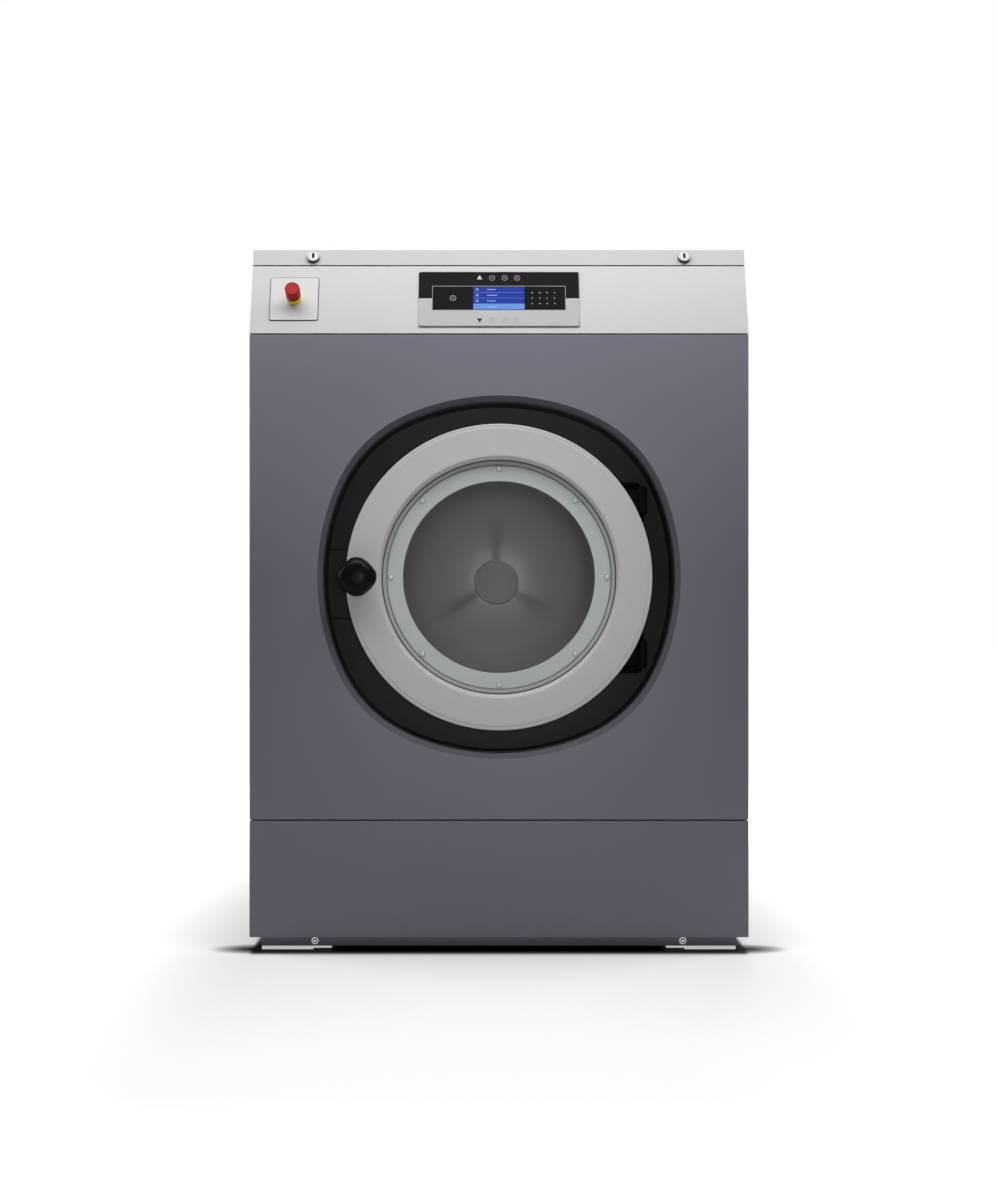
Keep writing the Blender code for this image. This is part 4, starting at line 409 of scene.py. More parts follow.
finishColumns = ("colour", "metallic", "specular", "roughness", "roughSpread", "driftScale", "drift",
                 "grainScale", "bump", "bumpDepth")
finishRows = {
    "panelPaint": ((0.250, 0.250, 0.300), 0, 0.3, 0.46, 0.03, 3.0, 0.02, 520, 0.10, 0.0003),
    # painted light: a paler copy of the panel paint, for the plinth in shade under the front panel
    "plinthLitPaint": ((0.40, 0.40, 0.47), 0, 0.3, 0.46, 0.03, 3.0, 0.02, 520, 0.10, 0.0003),
    # painted shade: a darker copy of the panel paint, for the opening's chamfer and the hub cover's edge
    "lipShadePaint": ((0.115, 0.115, 0.138), 0, 0.2, 0.5, 0.03, 3.0, 0.02, 520, 0.08, 0.0003),
    "coverPaint": ((0.555, 0.555, 0.555), 0, 0.3, 0.45, 0.03, 4.0, 0.012, 620, 0.05, 0.0002),
    "fasciaPaint": ((0.62, 0.62, 0.62), 0, 0.3, 0.45, 0.03, 4.0, 0.012, 620, 0.05, 0.0002),
    # painted light: paler than the fascia, against the stop head's shadow on its plate
    "stopPlateLitPaint": ((0.68, 0.68, 0.68), 0, 0.3, 0.45, 0.03, 4.0, 0.012, 620, 0.05, 0.0002),
    # painted shade: dark grey for edges, seams, grooves and creases
    "edgeShadePaint": ((0.13, 0.125, 0.12), 0, 0.1, 0.5, 0.03, 9.0, 0.02, 620, 0.05, 0.0002),
    "framePaint": ((0.040, 0.043, 0.050), 0, 0.5, 0.55, 0.08, 9, 0.2, 300, 0.2, 0.0004),
    "motorPaint": ((0.030, 0.036, 0.050), 0, 0.5, 0.45, 0.08, 14, 0.15, 380, 0.25, 0.0004),
    "ringPaint": ((0.66, 0.66, 0.66), 0, 0.3, 0.46, 0.02, 6, 0.012, 700, 0.04, 0.0001),
    "shelfPaint": ((0.44, 0.47, 0.47), 0, 0.2, 0.46, 0.03, 6, 0.012, 700, 0.04, 0.0001),
    "clampSteel": ((0.58, 0.62, 0.63), 0, 0.3, 0.42, 0.02, 8, 0.015, 600, 0.03, 0.0001),
    "boltSteel": ((0.60, 0.61, 0.61), 0.9, 0.5, 0.25, 0.05, 90, 0.05, 900, 0.05, 0.0001),
    "screwSteel": ((0.74, 0.77, 0.77), 0.1, 0.4, 0.34, 0.04, 90, 0.03, 900, 0.03, 0.0001),
    "machinedSteel": ((0.42, 0.43, 0.44), 1.0, 0.5, 0.32, 0.06, 30, 0.06, 600, 0.08, 0.0002),
    "brushedSteel": ((0.46, 0.47, 0.47), 1.0, 0.5, 0.32, 0.07, 14, 0.05, 160, 0.10, 0.0002),
    "hubSteel": ((0.185, 0.185, 0.19), 0.1, 0.5, 0.45, 0.04, 20, 0.04, 300, 0.05, 0.0002),
    "castIron": ((0.055, 0.058, 0.062), 0.3, 0.5, 0.62, 0.1, 22, 0.25, 420, 0.45, 0.0008),
    "chromePlate": ((0.62, 0.62, 0.62), 0.1, 0.3, 0.36, 0.03, 60, 0.02, 900, 0.02, 0.0001),
    # painted shade: near black on the lock barrel's sides
    "lockSideShade": ((0.022, 0.022, 0.022), 0, 0.08, 0.45, 0.05, 60, 0.05, 900, 0.02, 0.0001),
    # black castings of the hinge, and painted shade on the tub face outside its neck
    "blackCastingAndShade": ((0.004, 0.004, 0.0045), 0, 0.08, 0.50, 0.06, 30, 0.1, 500, 0.2, 0.0003),
    "surroundBlack": ((0.0115, 0.0175, 0.0195), 0, 0.5, 0.48, 0.05, 8, 0.05, 800, 0.08, 0.0002),
    "knobBlack": ((0.006, 0.0065, 0.007), 0, 0.12, 0.30, 0.03, 40, 0.05, 900, 0.04, 0.0001),
    "greyMoulding": ((0.11, 0.115, 0.12), 0, 0.5, 0.5, 0.06, 16, 0.06, 600, 0.15, 0.0003),
    "stopRed": ((0.42, 0.012, 0.014), 0, 0.12, 0.42, 0.04, 60, 0.05, 900, 0.06, 0.0001),
    "stopYellow": ((0.98, 0.80, 0.035), 0, 0.15, 0.42, 0.04, 60, 0.05, 900, 0.06, 0.0001),
    "gasketRubber": ((0.016, 0.016, 0.017), 0, 0.5, 0.7, 0.08, 26, 0.15, 500, 0.25, 0.0004),
}
finishLooks = {name: dict(zip(finishColumns, row)) for name, row in finishRows.items()}
finishLooks["brushedSteel"]["stretch"] = (6, 0.35, 6)
finishes = {name: makeFinish(name, look) for name, look in finishLooks.items()}


# A list of heights and levels becomes a value that follows the height above the floor.
def addHeightLevel(tree, stops):
    height = splitVector(tree, tree.nodes["Texture Coordinate"].outputs["Object"])["Z"]
    low, high, top = stops[0][0], stops[-1][0], max(level for place, level in stops)
    share = addRange(tree, height, 0.0, 1.0, low, high)
    levels = [((place - low) / (high - low), (level / top,) * 3) for place, level in stops]
    return addRamp(tree, share, levels), top


# paints shade into a finish's base colour, by height
def paintShadeByHeight(name, base, stops):
    material = makeFinish(name, finishLooks[base])
    tree = material.node_tree
    target = tree.nodes["Principled BSDF"].inputs["Base Color"]
    level, top = addHeightLevel(tree, stops)
    mix = addNode(tree, "ShaderNodeVectorMath", operation="MULTIPLY")
    scale = addNode(tree, "ShaderNodeVectorMath", operation="SCALE")
    scale.inputs["Scale"].default_value = top
    tree.links.new(level, mix.inputs[0])
    tree.links.new(target.links[0].from_socket, mix.inputs[1])
    tree.links.new(mix.outputs[0], scale.inputs[0])
    tree.links.new(scale.outputs[0], target)
    return material


# paints sheen into a finish by height: the specular level follows the height above the floor
def paintSheenByHeight(name, base, stops):
    material = makeFinish(name, finishLooks[base])
    tree = material.node_tree
    level, top = addHeightLevel(tree, stops)
    scaled = addRange(tree, level, 0.0, top)
    tree.links.new(scaled, tree.nodes["Principled BSDF"].inputs["Specular IOR Level"])
    return material


# painted sheen: the surround and latch block are glossiest at the top and least at mid height
finishes["surroundPaintedSheen"] = paintSheenByHeight("surroundPaintedSheen", "surroundBlack", (
    (0.38, 0.55), (0.52, 0.42), (0.73, 0.28), (0.92, 0.50), (1.07, 0.92)))
# painted shade: the front sheet is darker at mid height beside the door than at top and bottom
finishes["frontShadedPaint"] = paintShadeByHeight("frontShadedPaint", "panelPaint", (
    (0.24, 1.02), (0.45, 0.97), (0.72, 0.84), (0.95, 0.95), (1.20, 0.97)))

zincLooks = {
    "galvanised": {"colour": (0.50, 0.51, 0.51), "metallic": 0.8, "roughness": 0.42, "spangle": 90},
    # painted light: paler zinc that glows though it is no lamp, for the front feet and plinth bolts in shade
    # under the machine
    "footZincGlow": {
        "colour": (0.76, 0.77, 0.77), "metallic": 0.25, "roughness": 0.42, "spangle": 90, "glow": 0.58,
    },
}


def makeGalvanised(name, look):  # zinc spangle: cells that differ a little in shade and gloss
    material, tree, shader, vector = startMaterial(name, look)
    cells = addNode(tree, "ShaderNodeTexVoronoi")
    cells.inputs["Scale"].default_value = look["spangle"]
    tree.links.new(vector, cells.inputs["Vector"])
    tone = addNode(tree, "ShaderNodeRGBToBW")
    tree.links.new(cells.outputs["Color"], tone.inputs["Color"])
    shades = ((0.2, shadeOf(look["colour"], 0.92)), (0.8, shadeOf(look["colour"], 1.06)))
    tree.links.new(addRamp(tree, tone.outputs["Val"], shades), shader.inputs["Base Color"])
    roughness = addRange(tree, tone.outputs["Val"], look["roughness"] - 0.08, look["roughness"] + 0.08)
    tree.links.new(roughness, shader.inputs["Roughness"])
    addBump(tree, shader, addNoise(tree, vector, 300), 0.1, 0.0003)
    return material


for name, look in zincLooks.items():
    finishes[name] = makeGalvanised(name, look)


def addPolar(tree, vector):  # angle and radius about the drum's axis, and the place along it
    centred = addMapping(tree, vector, location=(0, axisZ, 0), rotation=(uprightTilt, 0, 0))
    place = splitVector(tree, centred)
    angle = addMath(tree, "ARCTAN2", place["Y"], place["X"])
    return angle, addLength(tree, place["X"], place["Y"]), place["Z"]


# bright is the painted sheen round the hub, shade the painted shade in the grooves, outer the painted light
# added towards the rim
drumLook = {
    "colour": (0.42, 0.42, 0.44), "metallic": 0.1, "roughness": 0.5, "streaks": 90, "spokes": 3,
    "bright": 0.60, "shade": 0.42, "reach": 0.17, "outer": 0.12,
}


# Pressed steel: brushing that runs out from the axis, with painted sheen brightest round the hub, painted shade
# along the grooves and painted light added towards the rim.
def makeRadialSteel(name, look):
    material, tree, shader, vector = startMaterial(name, look)
    angle, radius = addPolar(tree, vector)[:2]
    streaks = addNode(tree, "ShaderNodeTexNoise", noise_dimensions="1D")
    streaks.inputs["Scale"].default_value = look["streaks"]
    streaks.inputs["Detail"].default_value = 5
    tree.links.new(angle, streaks.inputs["W"])
    fade = addMath(tree, "POWER", addRange(tree, radius, 1.0, 0.0, 0.02, look["reach"]), 1.6)
    wave = addMath(tree, "SINE", addMath(tree, "MULTIPLY", angle, look["spokes"]))
    grooveShade = addMath(tree, "POWER", addRange(tree, wave, 0.0, 1.0, -1.0, 1.0), 14.0)
    dimmed = addMath(tree, "MULTIPLY", grooveShade, look["bright"] + look["shade"])
    tone = addMath(tree, "MULTIPLY", fade, addMath(tree, "SUBTRACT", look["bright"], dimmed))
    tone = addMath(tree, "ADD", tone, addRange(tree, radius, 0.0, look["outer"], 0.12, 0.23))
    tone = addMath(tree, "ADD", tone, addRange(tree, streaks.outputs[0], -0.04, 0.04, 0.3, 0.7))
    colour = look["colour"]
    shades = ((0.0, shadeOf(colour, 0.35)), (0.464, colour), (1.0, shadeOf(colour, 1.75)))
    value = addRange(tree, tone, 0.0, 1.0, -0.65, 0.75)
    tree.links.new(addRamp(tree, value, shades), shader.inputs["Base Color"])
    tree.links.new(addRange(tree, streaks.outputs[0], 0.40, 0.52, 0.3, 0.7), shader.inputs["Roughness"])
    addBump(tree, shader, addNoise(tree, vector, 260), 0.04, 0.0002)
    return material


finishes["radialSteel"] = makeRadialSteel("radialSteel", drumLook)

glassLook = {
    "colour": (0.31, 0.31, 0.325), "roughness": 0.04, "clearAlpha": 0.05, "edgeAlpha": 0.22, "specular": 0.25,
}


def makeGlass(name, look):  # clearer where it faces the eye, denser at its edges
    material, tree, shader, vector = startMaterial(name, look)
    facing = addNode(tree, "ShaderNodeLayerWeight")
    facing.inputs["Blend"].default_value = 0.5
    alpha = addRange(tree, facing.outputs["Facing"], look["clearAlpha"], look["edgeAlpha"], 0.1, 1.0)
    tree.links.new(alpha, shader.inputs["Alpha"])
    wipe = addNoise(tree, vector, 9)
    tree.links.new(addRange(tree, wipe, 0.02, 0.06, 0.3, 0.7), shader.inputs["Roughness"])
    return material


finishes["doorGlass"] = makeGlass("doorGlass", glassLook)

flatColumns = ("colour", "roughness", "specular", "glow")
flatRows = {
    "unitBlack": ((0.0125, 0.0120, 0.0120), 0.45, 0.03, 0), "unitSilver": ((0.50, 0.50, 0.50), 0.35, 0.2, 0),
    "windowBlack": ((0.0090, 0.0090, 0.0100), 0.40, 0.03, 0),
    "screenDeep": ((0.011, 0.024, 0.182), 0.35, 0.03, 1.0),
    "screenPale": ((0.085, 0.18, 0.40), 0.35, 0.03, 0.8),
    "screenLine": ((0.14, 0.19, 0.42), 0.4, 0.03, 0.5), "screenText": ((0.22, 0.30, 0.52), 0.4, 0.03, 0.6),
    "markPale": ((0.62, 0.62, 0.62), 0.5, 0.3, 0), "markGrey": ((0.20, 0.20, 0.20), 0.5, 0.3, 0),
    # slotShade is painted shade: near black for the keyway deep in each lock's slot
    "markBlack": ((0.012, 0.012, 0.012), 0.5, 0.3, 0), "slotShade": ((0.006, 0.006, 0.006), 0.6, 0.05, 0),
}


def makeFlatFinish(name, look):  # printed and lit faces, with a faint speckle
    material, tree, shader, vector = startMaterial(name, look)
    speckle = addNoise(tree, vector, 900, detail=2)
    colours = ((0.3, shadeOf(look["colour"], 0.96)), (0.7, shadeOf(look["colour"], 1.04)))
    tree.links.new(addRamp(tree, speckle, colours), shader.inputs["Base Color"])
    addBump(tree, shader, speckle, 0.03, 0.0001)
    return material


for name, row in flatRows.items():
    finishes[name] = makeFlatFinish(name, dict(zip(flatColumns, row)))

perforatedLook = {
    "colour": (0.46, 0.47, 0.47), "metallic": 1.0, "roughness": 0.3, "pitch": 0.022, "radius": 0.375,
}


# Perforated wall: rows of round holes that follow the drum's turn, dark and sunk in the relief.
def makePerforated(name, look):
    material, tree, shader, vector = startMaterial(name, look)
    angle, radius, along = addPolar(tree, vector)
    turn = 2 * math.pi / look["pitch"]
    waves = [addMath(tree, "COSINE", addMath(tree, "MULTIPLY", value, scale))
             for value, scale in ((angle, turn * look["radius"]), (along, turn))]
    holes = addRange(tree, addMath(tree, "ADD", *waves), 0.0, 1.0, 1.25, 1.45)
    isWall = addMath(tree, "GREATER_THAN", radius, look["radius"] * 0.97)
    holes = addMath(tree, "MULTIPLY", holes, isWall)
    colour = addRamp(tree, holes, ((0.0, look["colour"]), (1.0, (0.01, 0.01, 0.01))))
    tree.links.new(colour, shader.inputs["Base Color"])
    addBump(tree, shader, addRange(tree, holes, 1.0, 0.0), 0.5, 0.001)
    return material


finishes["drumWall"] = makePerforated("drumWall", perforatedLook)
print("finishes made:", len(finishes))


# Control face

unit = {
    "width": 0.314, "height": 0.1205, "base": 0.0138, "thickness": 0.004, "corner": 0.0035, "edge": 0.0014,
    "split": 0.0609, "windowWidth": 0.259, "windowHeight": 0.052, "windowBase": 0.0355,
    "windowCorner": 0.0008, "windowThickness": 0.002, "windowEdge": 0.0002, "frameLine": 0.0008,
    "gap": 0.0003, "markHeight": 0.0001,
}
windowRise = unit["base"] + unit["windowBase"] + unit["windowHeight"] / 2


def unitPlate(name, width, height, x, rise, base, top, corner, finish, replaced=(), edge=0.0):
    plate = makePlate(width, height, base, top, corner)
    if edge:
        roundEdges(plate, edge, segments=2)
    settle(plate, name, "root", finish, replaced, facePlace(x, rise), faceTilt)


def unitMark(name, width, height, x, rise, corner, finish, layers=1):
    top = unit["thickness"]
    unitPlate(name, width, height, x, rise, top, top + layers * unit["markHeight"], corner, finish)


def makeWindowRim(base, top):  # a fine bright line round the window
    inner, outer = 2 * unit["gap"], 2 * (unit["gap"] + unit["frameLine"])
    width, height = unit["windowWidth"], unit["windowHeight"]
    rim = makePlate(width + outer, height + outer, base, top, unit["windowCorner"])
    cutWith(rim, makePlate(width + inner, height + inner, base - through, top + through, 0))
    settle(rim, "window_rim", "root", "unitSilver", (), facePlace(0, windowRise), faceTilt, 0)


def makeUnit():
    top, half = unit["thickness"], unit["height"] / 2
    floor = top - unit["windowThickness"] - unit["gap"]
    body = makePlate(unit["width"], unit["height"], unit["gap"], top, unit["corner"])
    roundEdges(body, unit["edge"], segments=2)
    rim = 2 * (unit["frameLine"] + 2 * unit["gap"])
    pocket = makePlate(unit["windowWidth"] + rim, unit["windowHeight"] + rim, floor, 2 * top, 0)
    moveAside(pocket, y=unit["windowBase"] + unit["windowHeight"] / 2 - half)
    cutWith(body, pocket)
    smoothByAngle(body)
    # the upper half is black and the lower half silver, split along one level edge
    splitRise = unit["split"] - half
    enterEdit(body)
    selectAll()
    bpy.ops.mesh.bisect(plane_co=(0, splitRise, 0), plane_no=(0, 1, 0))
    leaveEdit()
    lowerFaces = pickIndices(body, lambda centre, normal: centre.y < splitRise)
    settle(body, "control_unit", "root", "unitBlack", ("display_bezel",),
           facePlace(0, unit["base"] + half), faceTilt, 0)
    addFinish(body, "unitSilver", lowerFaces)
    makeWindowRim(floor + unit["gap"], top)
    unitPlate("control_window", unit["windowWidth"], unit["windowHeight"], 0, windowRise,
              top - unit["windowThickness"], top, unit["windowCorner"], "windowBlack", ("display_window",),
              unit["windowEdge"])


screen = {
    "rows": 4, "width": 0.100, "height": 0.0508, "inset": 0.001, "line": 0.0007, "corner": 0.0003,
    "markSize": 0.0058, "markCorner": 0.0022, "markX": -0.0425,
    "barWidth": 0.020, "barShorter": 0.003, "barHeight": 0.0016, "barCorner": 0.0005, "barX": -0.0135,
}


# Each row of the screen has a round mark at the left and one bar of unlettered entry beside it.
def makeScreen():
    pitch = screen["height"] / screen["rows"]
    unitMark("screen_lines", screen["width"], screen["height"] - screen["inset"], 0, windowRise, 0,
             "screenPale", 0.5)
    for row in range(screen["rows"]):
        rise = windowRise - screen["height"] / 2 + pitch * (row + 0.5)
        shorter = screen["barShorter"] * (row % 2)
        unitMark(f"screen_row_{row}", screen["width"], pitch - screen["line"], 0, rise, screen["corner"],
                 "screenDeep" if row else "screenPale", 1)
        unitMark(f"screen_mark_{row}", screen["markSize"], screen["markSize"], screen["markX"], rise,
                 screen["markCorner"], "screenLine", 2)
        unitMark(f"screen_bar_{row}", screen["barWidth"] - shorter, screen["barHeight"],
                 screen["barX"] - shorter / 2, rise, screen["barCorner"], "screenText", 2)


keys = {
    "dotColumns": (0.0652, 0.0800, 0.0942, 0.1091), "dotRows": (0.0120, 0.0, -0.0120), "dotSize": 0.0020,
    "startX": -0.0897, "startRadius": 0.0058, "startBar": 0.0058, "upperRise": 0.1065, "lowerRise": 0.0135,
    "arrowX": -0.0378, "arrowRadius": 0.0062, "roundColumns": (-0.0131, 0.0115, 0.0360),
    "roundRadius": 0.0056, "line": 0.0008, "barWidth": 0.0040, "barHeight": 0.0011,
    "barCorner": 0.0003, "dotCornerShare": 0.3, "lineCornerShare": 0.25, "ringLineShare": 0.75, "steps": 24,
}


def makeRoundMark(name, radius, width, x, rise, finish):
    inner, low = radius - width, unit["thickness"]
    high = low + unit["markHeight"]
    ring = spinOutline([(inner, low), (radius, low), (radius, high), (inner, high)], keys["steps"])
    settle(ring, name, "root", finish, (), facePlace(x, rise), faceTilt, 0)


def makeArrow(name, height, turn, finish):
    radius = keys["arrowRadius"]
    arrow = addShape(bpy.ops.mesh.primitive_circle_add, vertices=3, radius=radius, fill_type="NGON")
    editAll()
    bpy.ops.transform.translate(value=(0, 0, unit["thickness"]))
    extrudeBy((0, 0, unit["markHeight"]))
    cleanMesh(arrow)
    selectOnly(arrow)
    arrow.rotation_euler = (0, 0, turn)
    bpy.ops.object.transform_apply(rotation=True)
    settle(arrow, name, "root", finish, (), facePlace(keys["arrowX"], unit["base"] + height),
           faceTilt, 0)


def makeKeyMarks():
    size, line, startX = keys["dotSize"], keys["line"], keys["startX"]
    for column, x in enumerate(keys["dotColumns"]):
        for row, offset in enumerate(keys["dotRows"]):
            unitMark(f"key_dot_{column}_{row}", size, size, x, windowRise + offset,
                     size * keys["dotCornerShare"], "markPale")
    makeRoundMark("start_mark", keys["startRadius"], line, startX, windowRise, "markPale")
    unitMark("start_mark_bar", line, keys["startBar"], startX, windowRise, line * keys["lineCornerShare"],
             "markPale")
    makeArrow("arrow_up", keys["upperRise"], 0, "markPale")
    makeArrow("arrow_down", keys["lowerRise"], math.pi, "markBlack")
    for index, x in enumerate(keys["roundColumns"]):
        for word, finish in (("upper", "markPale"), ("lower", "markGrey")):
            rise = unit["base"] + keys[f"{word}Rise"]
            makeRoundMark(f"key_ring_{word}_{index}", keys["roundRadius"], line * keys["ringLineShare"], x, rise,
                          finish)
            unitMark(f"key_bar_{word}_{index}", keys["barWidth"], keys["barHeight"], x, rise,
                     keys["barCorner"], finish)


makeUnit()
makeScreen()
makeKeyMarks()
print("control unit made")

stop = {
    "x": -0.4005, "rise": 0.075, "plate": 0.094, "plateThickness": 0.002, "plateRound": 0.0005,
    "corner": 0.004, "seam": 0.0010, "collarRadius": 0.01375, "collarHeight": 0.0102, "collarRound": 0.0008,
    "neckRadius": 0.0120, "neckHeight": 0.0165, "neckRound": 0.0006, "play": 0.0005,
    "headRadius": 0.0145, "headTop": 0.040, "headSkirt": 0.0145, "skirtRound": 0.0006, "headRound": 0.0022,
    "dish": 0.0006, "dishShare": 0.62, "bore": 0.0055, "boreSteps": 32, "socket": 0.0053, "floor": 0.0210,
    "socketTop": 0.0310, "gap": 0.0003, "steps": 72,
}


def makeStop():
    place, face = facePlace(stop["x"], stop["rise"]), stop["plateThickness"]
    bore, gap = stop["bore"], stop["gap"]
    wide, corner = stop["plate"], stop["corner"]
    plate = makePlate(wide, wide, gap, face, corner)
    roundEdges(plate, stop["plateRound"], segments=2)
    cutWith(plate, boreTool(bore, through, stop["boreSteps"]))
    # the plate is painted paler against the head's shadow, and its edge faces dark as painted shade
    shadedEdgeFaces = pickIndices(plate, lambda centre, normal: abs(normal.z) < 0.98)
    settle(plate, "stop_plate", "root", "stopPlateLitPaint", ("estop_plate",), place, faceTilt)
    addFinish(plate, "edgeShadePaint", shadedEdgeFaces)
    # painted shade: a dark frame just round the plate, where the seam's shade falls
    outer = wide + 2 * stop["seam"]
    seam = makePlate(outer, outer, gap, face / 2, corner + stop["seam"])
    cutWith(seam, makePlate(wide + gap, wide + gap, -face, 2 * face, corner))
    settle(seam, "stop_plate_seam_shade", "root", "edgeShadePaint", (), place, faceTilt, 0)

    collarRadius, neckRadius = stop["collarRadius"], stop["neckRadius"]
    collarTop, neckTop = face + stop["collarHeight"], face + stop["neckHeight"]
    outline = [(bore, face + gap), (collarRadius, face + gap), (collarRadius, collarTop),
               (neckRadius, collarTop), (neckRadius, neckTop), (bore, neckTop)]
    rounding = {2: stop["collarRound"], 4: stop["neckRound"]}
    collar = spinOutline(filletOutline(outline, rounding), stop["steps"])
    settle(collar, "stop_collar", "root", "stopYellow", ("estop_collar",), place, faceTilt)

    skirt, top, radius = face + stop["headSkirt"], face + stop["headTop"], stop["headRadius"]
    floor, hollow, socket = stop["floor"] + face, neckRadius + stop["play"], stop["socket"]
    ceiling, dish = stop["socketTop"] + face, top - stop["dish"]
    outline = [(0, ceiling), (socket, ceiling), (socket, floor), (hollow, floor), (hollow, skirt),
               (radius, skirt), (radius, top), (radius * stop["dishShare"], dish), (0, dish)]
    head = spinOutline(filletOutline(outline, {5: stop["skirtRound"], 6: stop["headRound"]}), stop["steps"])
    settle(head, "stop_head", "estop_knob", "stopRed", ("estop_head",), place, faceTilt, 40)


makeStop()
print("emergency stop made")

lock = {
    "x": 0.366, "rise": 0.168571, "radius": 0.0123, "proud": 0.0075, "rimRound": 0.0009, "innerRound": 0.0003,
    "faceRadius": 0.0100, "faceDepth": 0.0042, "faceRound": 0.0008, "bodyRadius": 0.0090,
    "bodyLength": 0.0110, "spindle": 0.005, "slotWidth": 0.0048, "slotLength": 0.0115,
    "slotCorner": 0.0006, "slotTop": 0.02,
    "keyWidthShare": 0.94, "keyLengthShare": 0.98, "keyLow": 0.0011, "keyHigh": 0.0007, "keyCorner": 0.0005,
    "camGap": 0.0013, "camThickness": 0.003, "camLength": 0.012, "camWidth": 0.008, "camCorner": 0.002,
    "gap": 0.0003, "steps": 64,
}


def makeLockBarrel():
    proud, length, gap = lock["proud"], lock["bodyLength"], lock["gap"]
    bore, recess, floor = lock["spindle"] + gap, lock["faceRadius"] + gap, proud - lock["faceDepth"]
    radius, bodyRadius = lock["radius"], lock["bodyRadius"]
    outline = [(bore, -length), (bodyRadius, -length), (bodyRadius, gap), (radius, gap), (radius, proud),
               (recess, proud), (recess, floor), (bore, floor)]
    barrel = spinOutline(filletOutline(outline, {4: lock["rimRound"], 5: lock["innerRound"]}), lock["steps"])
    smoothByAngle(barrel)
    return barrel, pickIndices(barrel, lambda centre, normal: normal.z < 0.5)


def makeLockPlug():
    proud, face, spindle = lock["proud"], lock["faceRadius"], lock["spindle"]
    floor, camFront = proud - lock["faceDepth"] + lock["gap"], -lock["bodyLength"] - lock["camGap"]
    camBack = camFront - lock["camThickness"]
    outline = [(0, camBack), (spindle, camBack), (spindle, floor), (face, floor), (face, proud), (0, proud)]
    plug = spinOutline(filletOutline(outline, {4: lock["faceRound"]}), lock["steps"])
    cutWith(plug, makePlate(lock["slotWidth"], lock["slotLength"], (floor + proud) / 2, lock["slotTop"],
                            lock["slotCorner"]))
    half = lock["camWidth"] / 2
    cam = makePlate(lock["camWidth"], lock["camLength"] + half, camBack, camFront, lock["camCorner"])
    moveAside(cam, y=(half - lock["camLength"]) / 2)
    cutWith(plug, cam, "UNION")
    smoothByAngle(plug)
    return plug


def makeLocks():
    (barrel, shadedSideFaces), plug = makeLockBarrel(), makeLockPlug()
    for side, word in ((-1, "left"), (1, "right")):
        place = facePlace(side * lock["x"], lock["rise"])
        for source, name, bodyName, node in (
            (barrel, "lock_ring", "cover", "lock_barrel"), (plug, "lock_face", f"{word}_lock", "lock_plug"),
        ):
            piece = copyPiece(source)
            settle(piece, f"{name}_{word}", bodyName, "chromePlate", (f"{node}_{word}",), place,
                   faceTilt, 0)
            # painted shade: the barrel's sides near black
            if source is barrel:
                addFinish(piece, "lockSideShade", shadedSideFaces)
        # a near black plate deep in the slot, as painted shade
        keyWidth = lock["slotWidth"] * lock["keyWidthShare"]
        keyLength = lock["slotLength"] * lock["keyLengthShare"]
        key = makePlate(keyWidth, keyLength, lock["proud"] - lock["keyLow"], lock["proud"] - lock["keyHigh"],
                        lock["keyCorner"])
        settle(key, f"lock_keyway_{word}", f"{word}_lock", "slotShade", (), place, faceTilt, 0)
    for source in (barrel, plug):
        bpy.data.objects.remove(source, do_unlink=True)


makeLocks()
print("key locks made")


# Front panel and the dark surround behind its opening

opening = {
    "radius": 0.3495, "squareShare": 0.022, "flatShare": 0.0024, "bevel": 0.0105, "lip": 0.016,
    "chamfer": ((0.0100, 0.0002), (0.0008, 0.0062), (0.0, 0.0072)), "sheet": 0.0015, "fold": 0.022,
    "foldBend": 0.0016, "points": 256, "gap": 0.0003,
}


def openingReach(angle, outward=0.0):
    squareness = opening["squareShare"] * math.cos(4 * angle)
    flatness = opening["flatShare"] * math.cos(8 * angle)
    return opening["radius"] * (1 - squareness + flatness) + outward


# The free loop of a body takes the opening's soft square shape at a stated distance outside it.
def shapeLoop(body, firstPoint, outward):
    for vertex in body.data.vertices[firstPoint:]:
        angle = math.atan2(vertex.co.y, vertex.co.x)
        reach = openingReach(angle, outward)
        vertex.co.x, vertex.co.y = reach * math.cos(angle), reach * math.sin(angle)


def scaleAbout(share, height=0.0):  # widens or narrows what is selected about the axis
    bpy.ops.transform.resize(value=(share, share, 1), center_override=(0, 0, height))


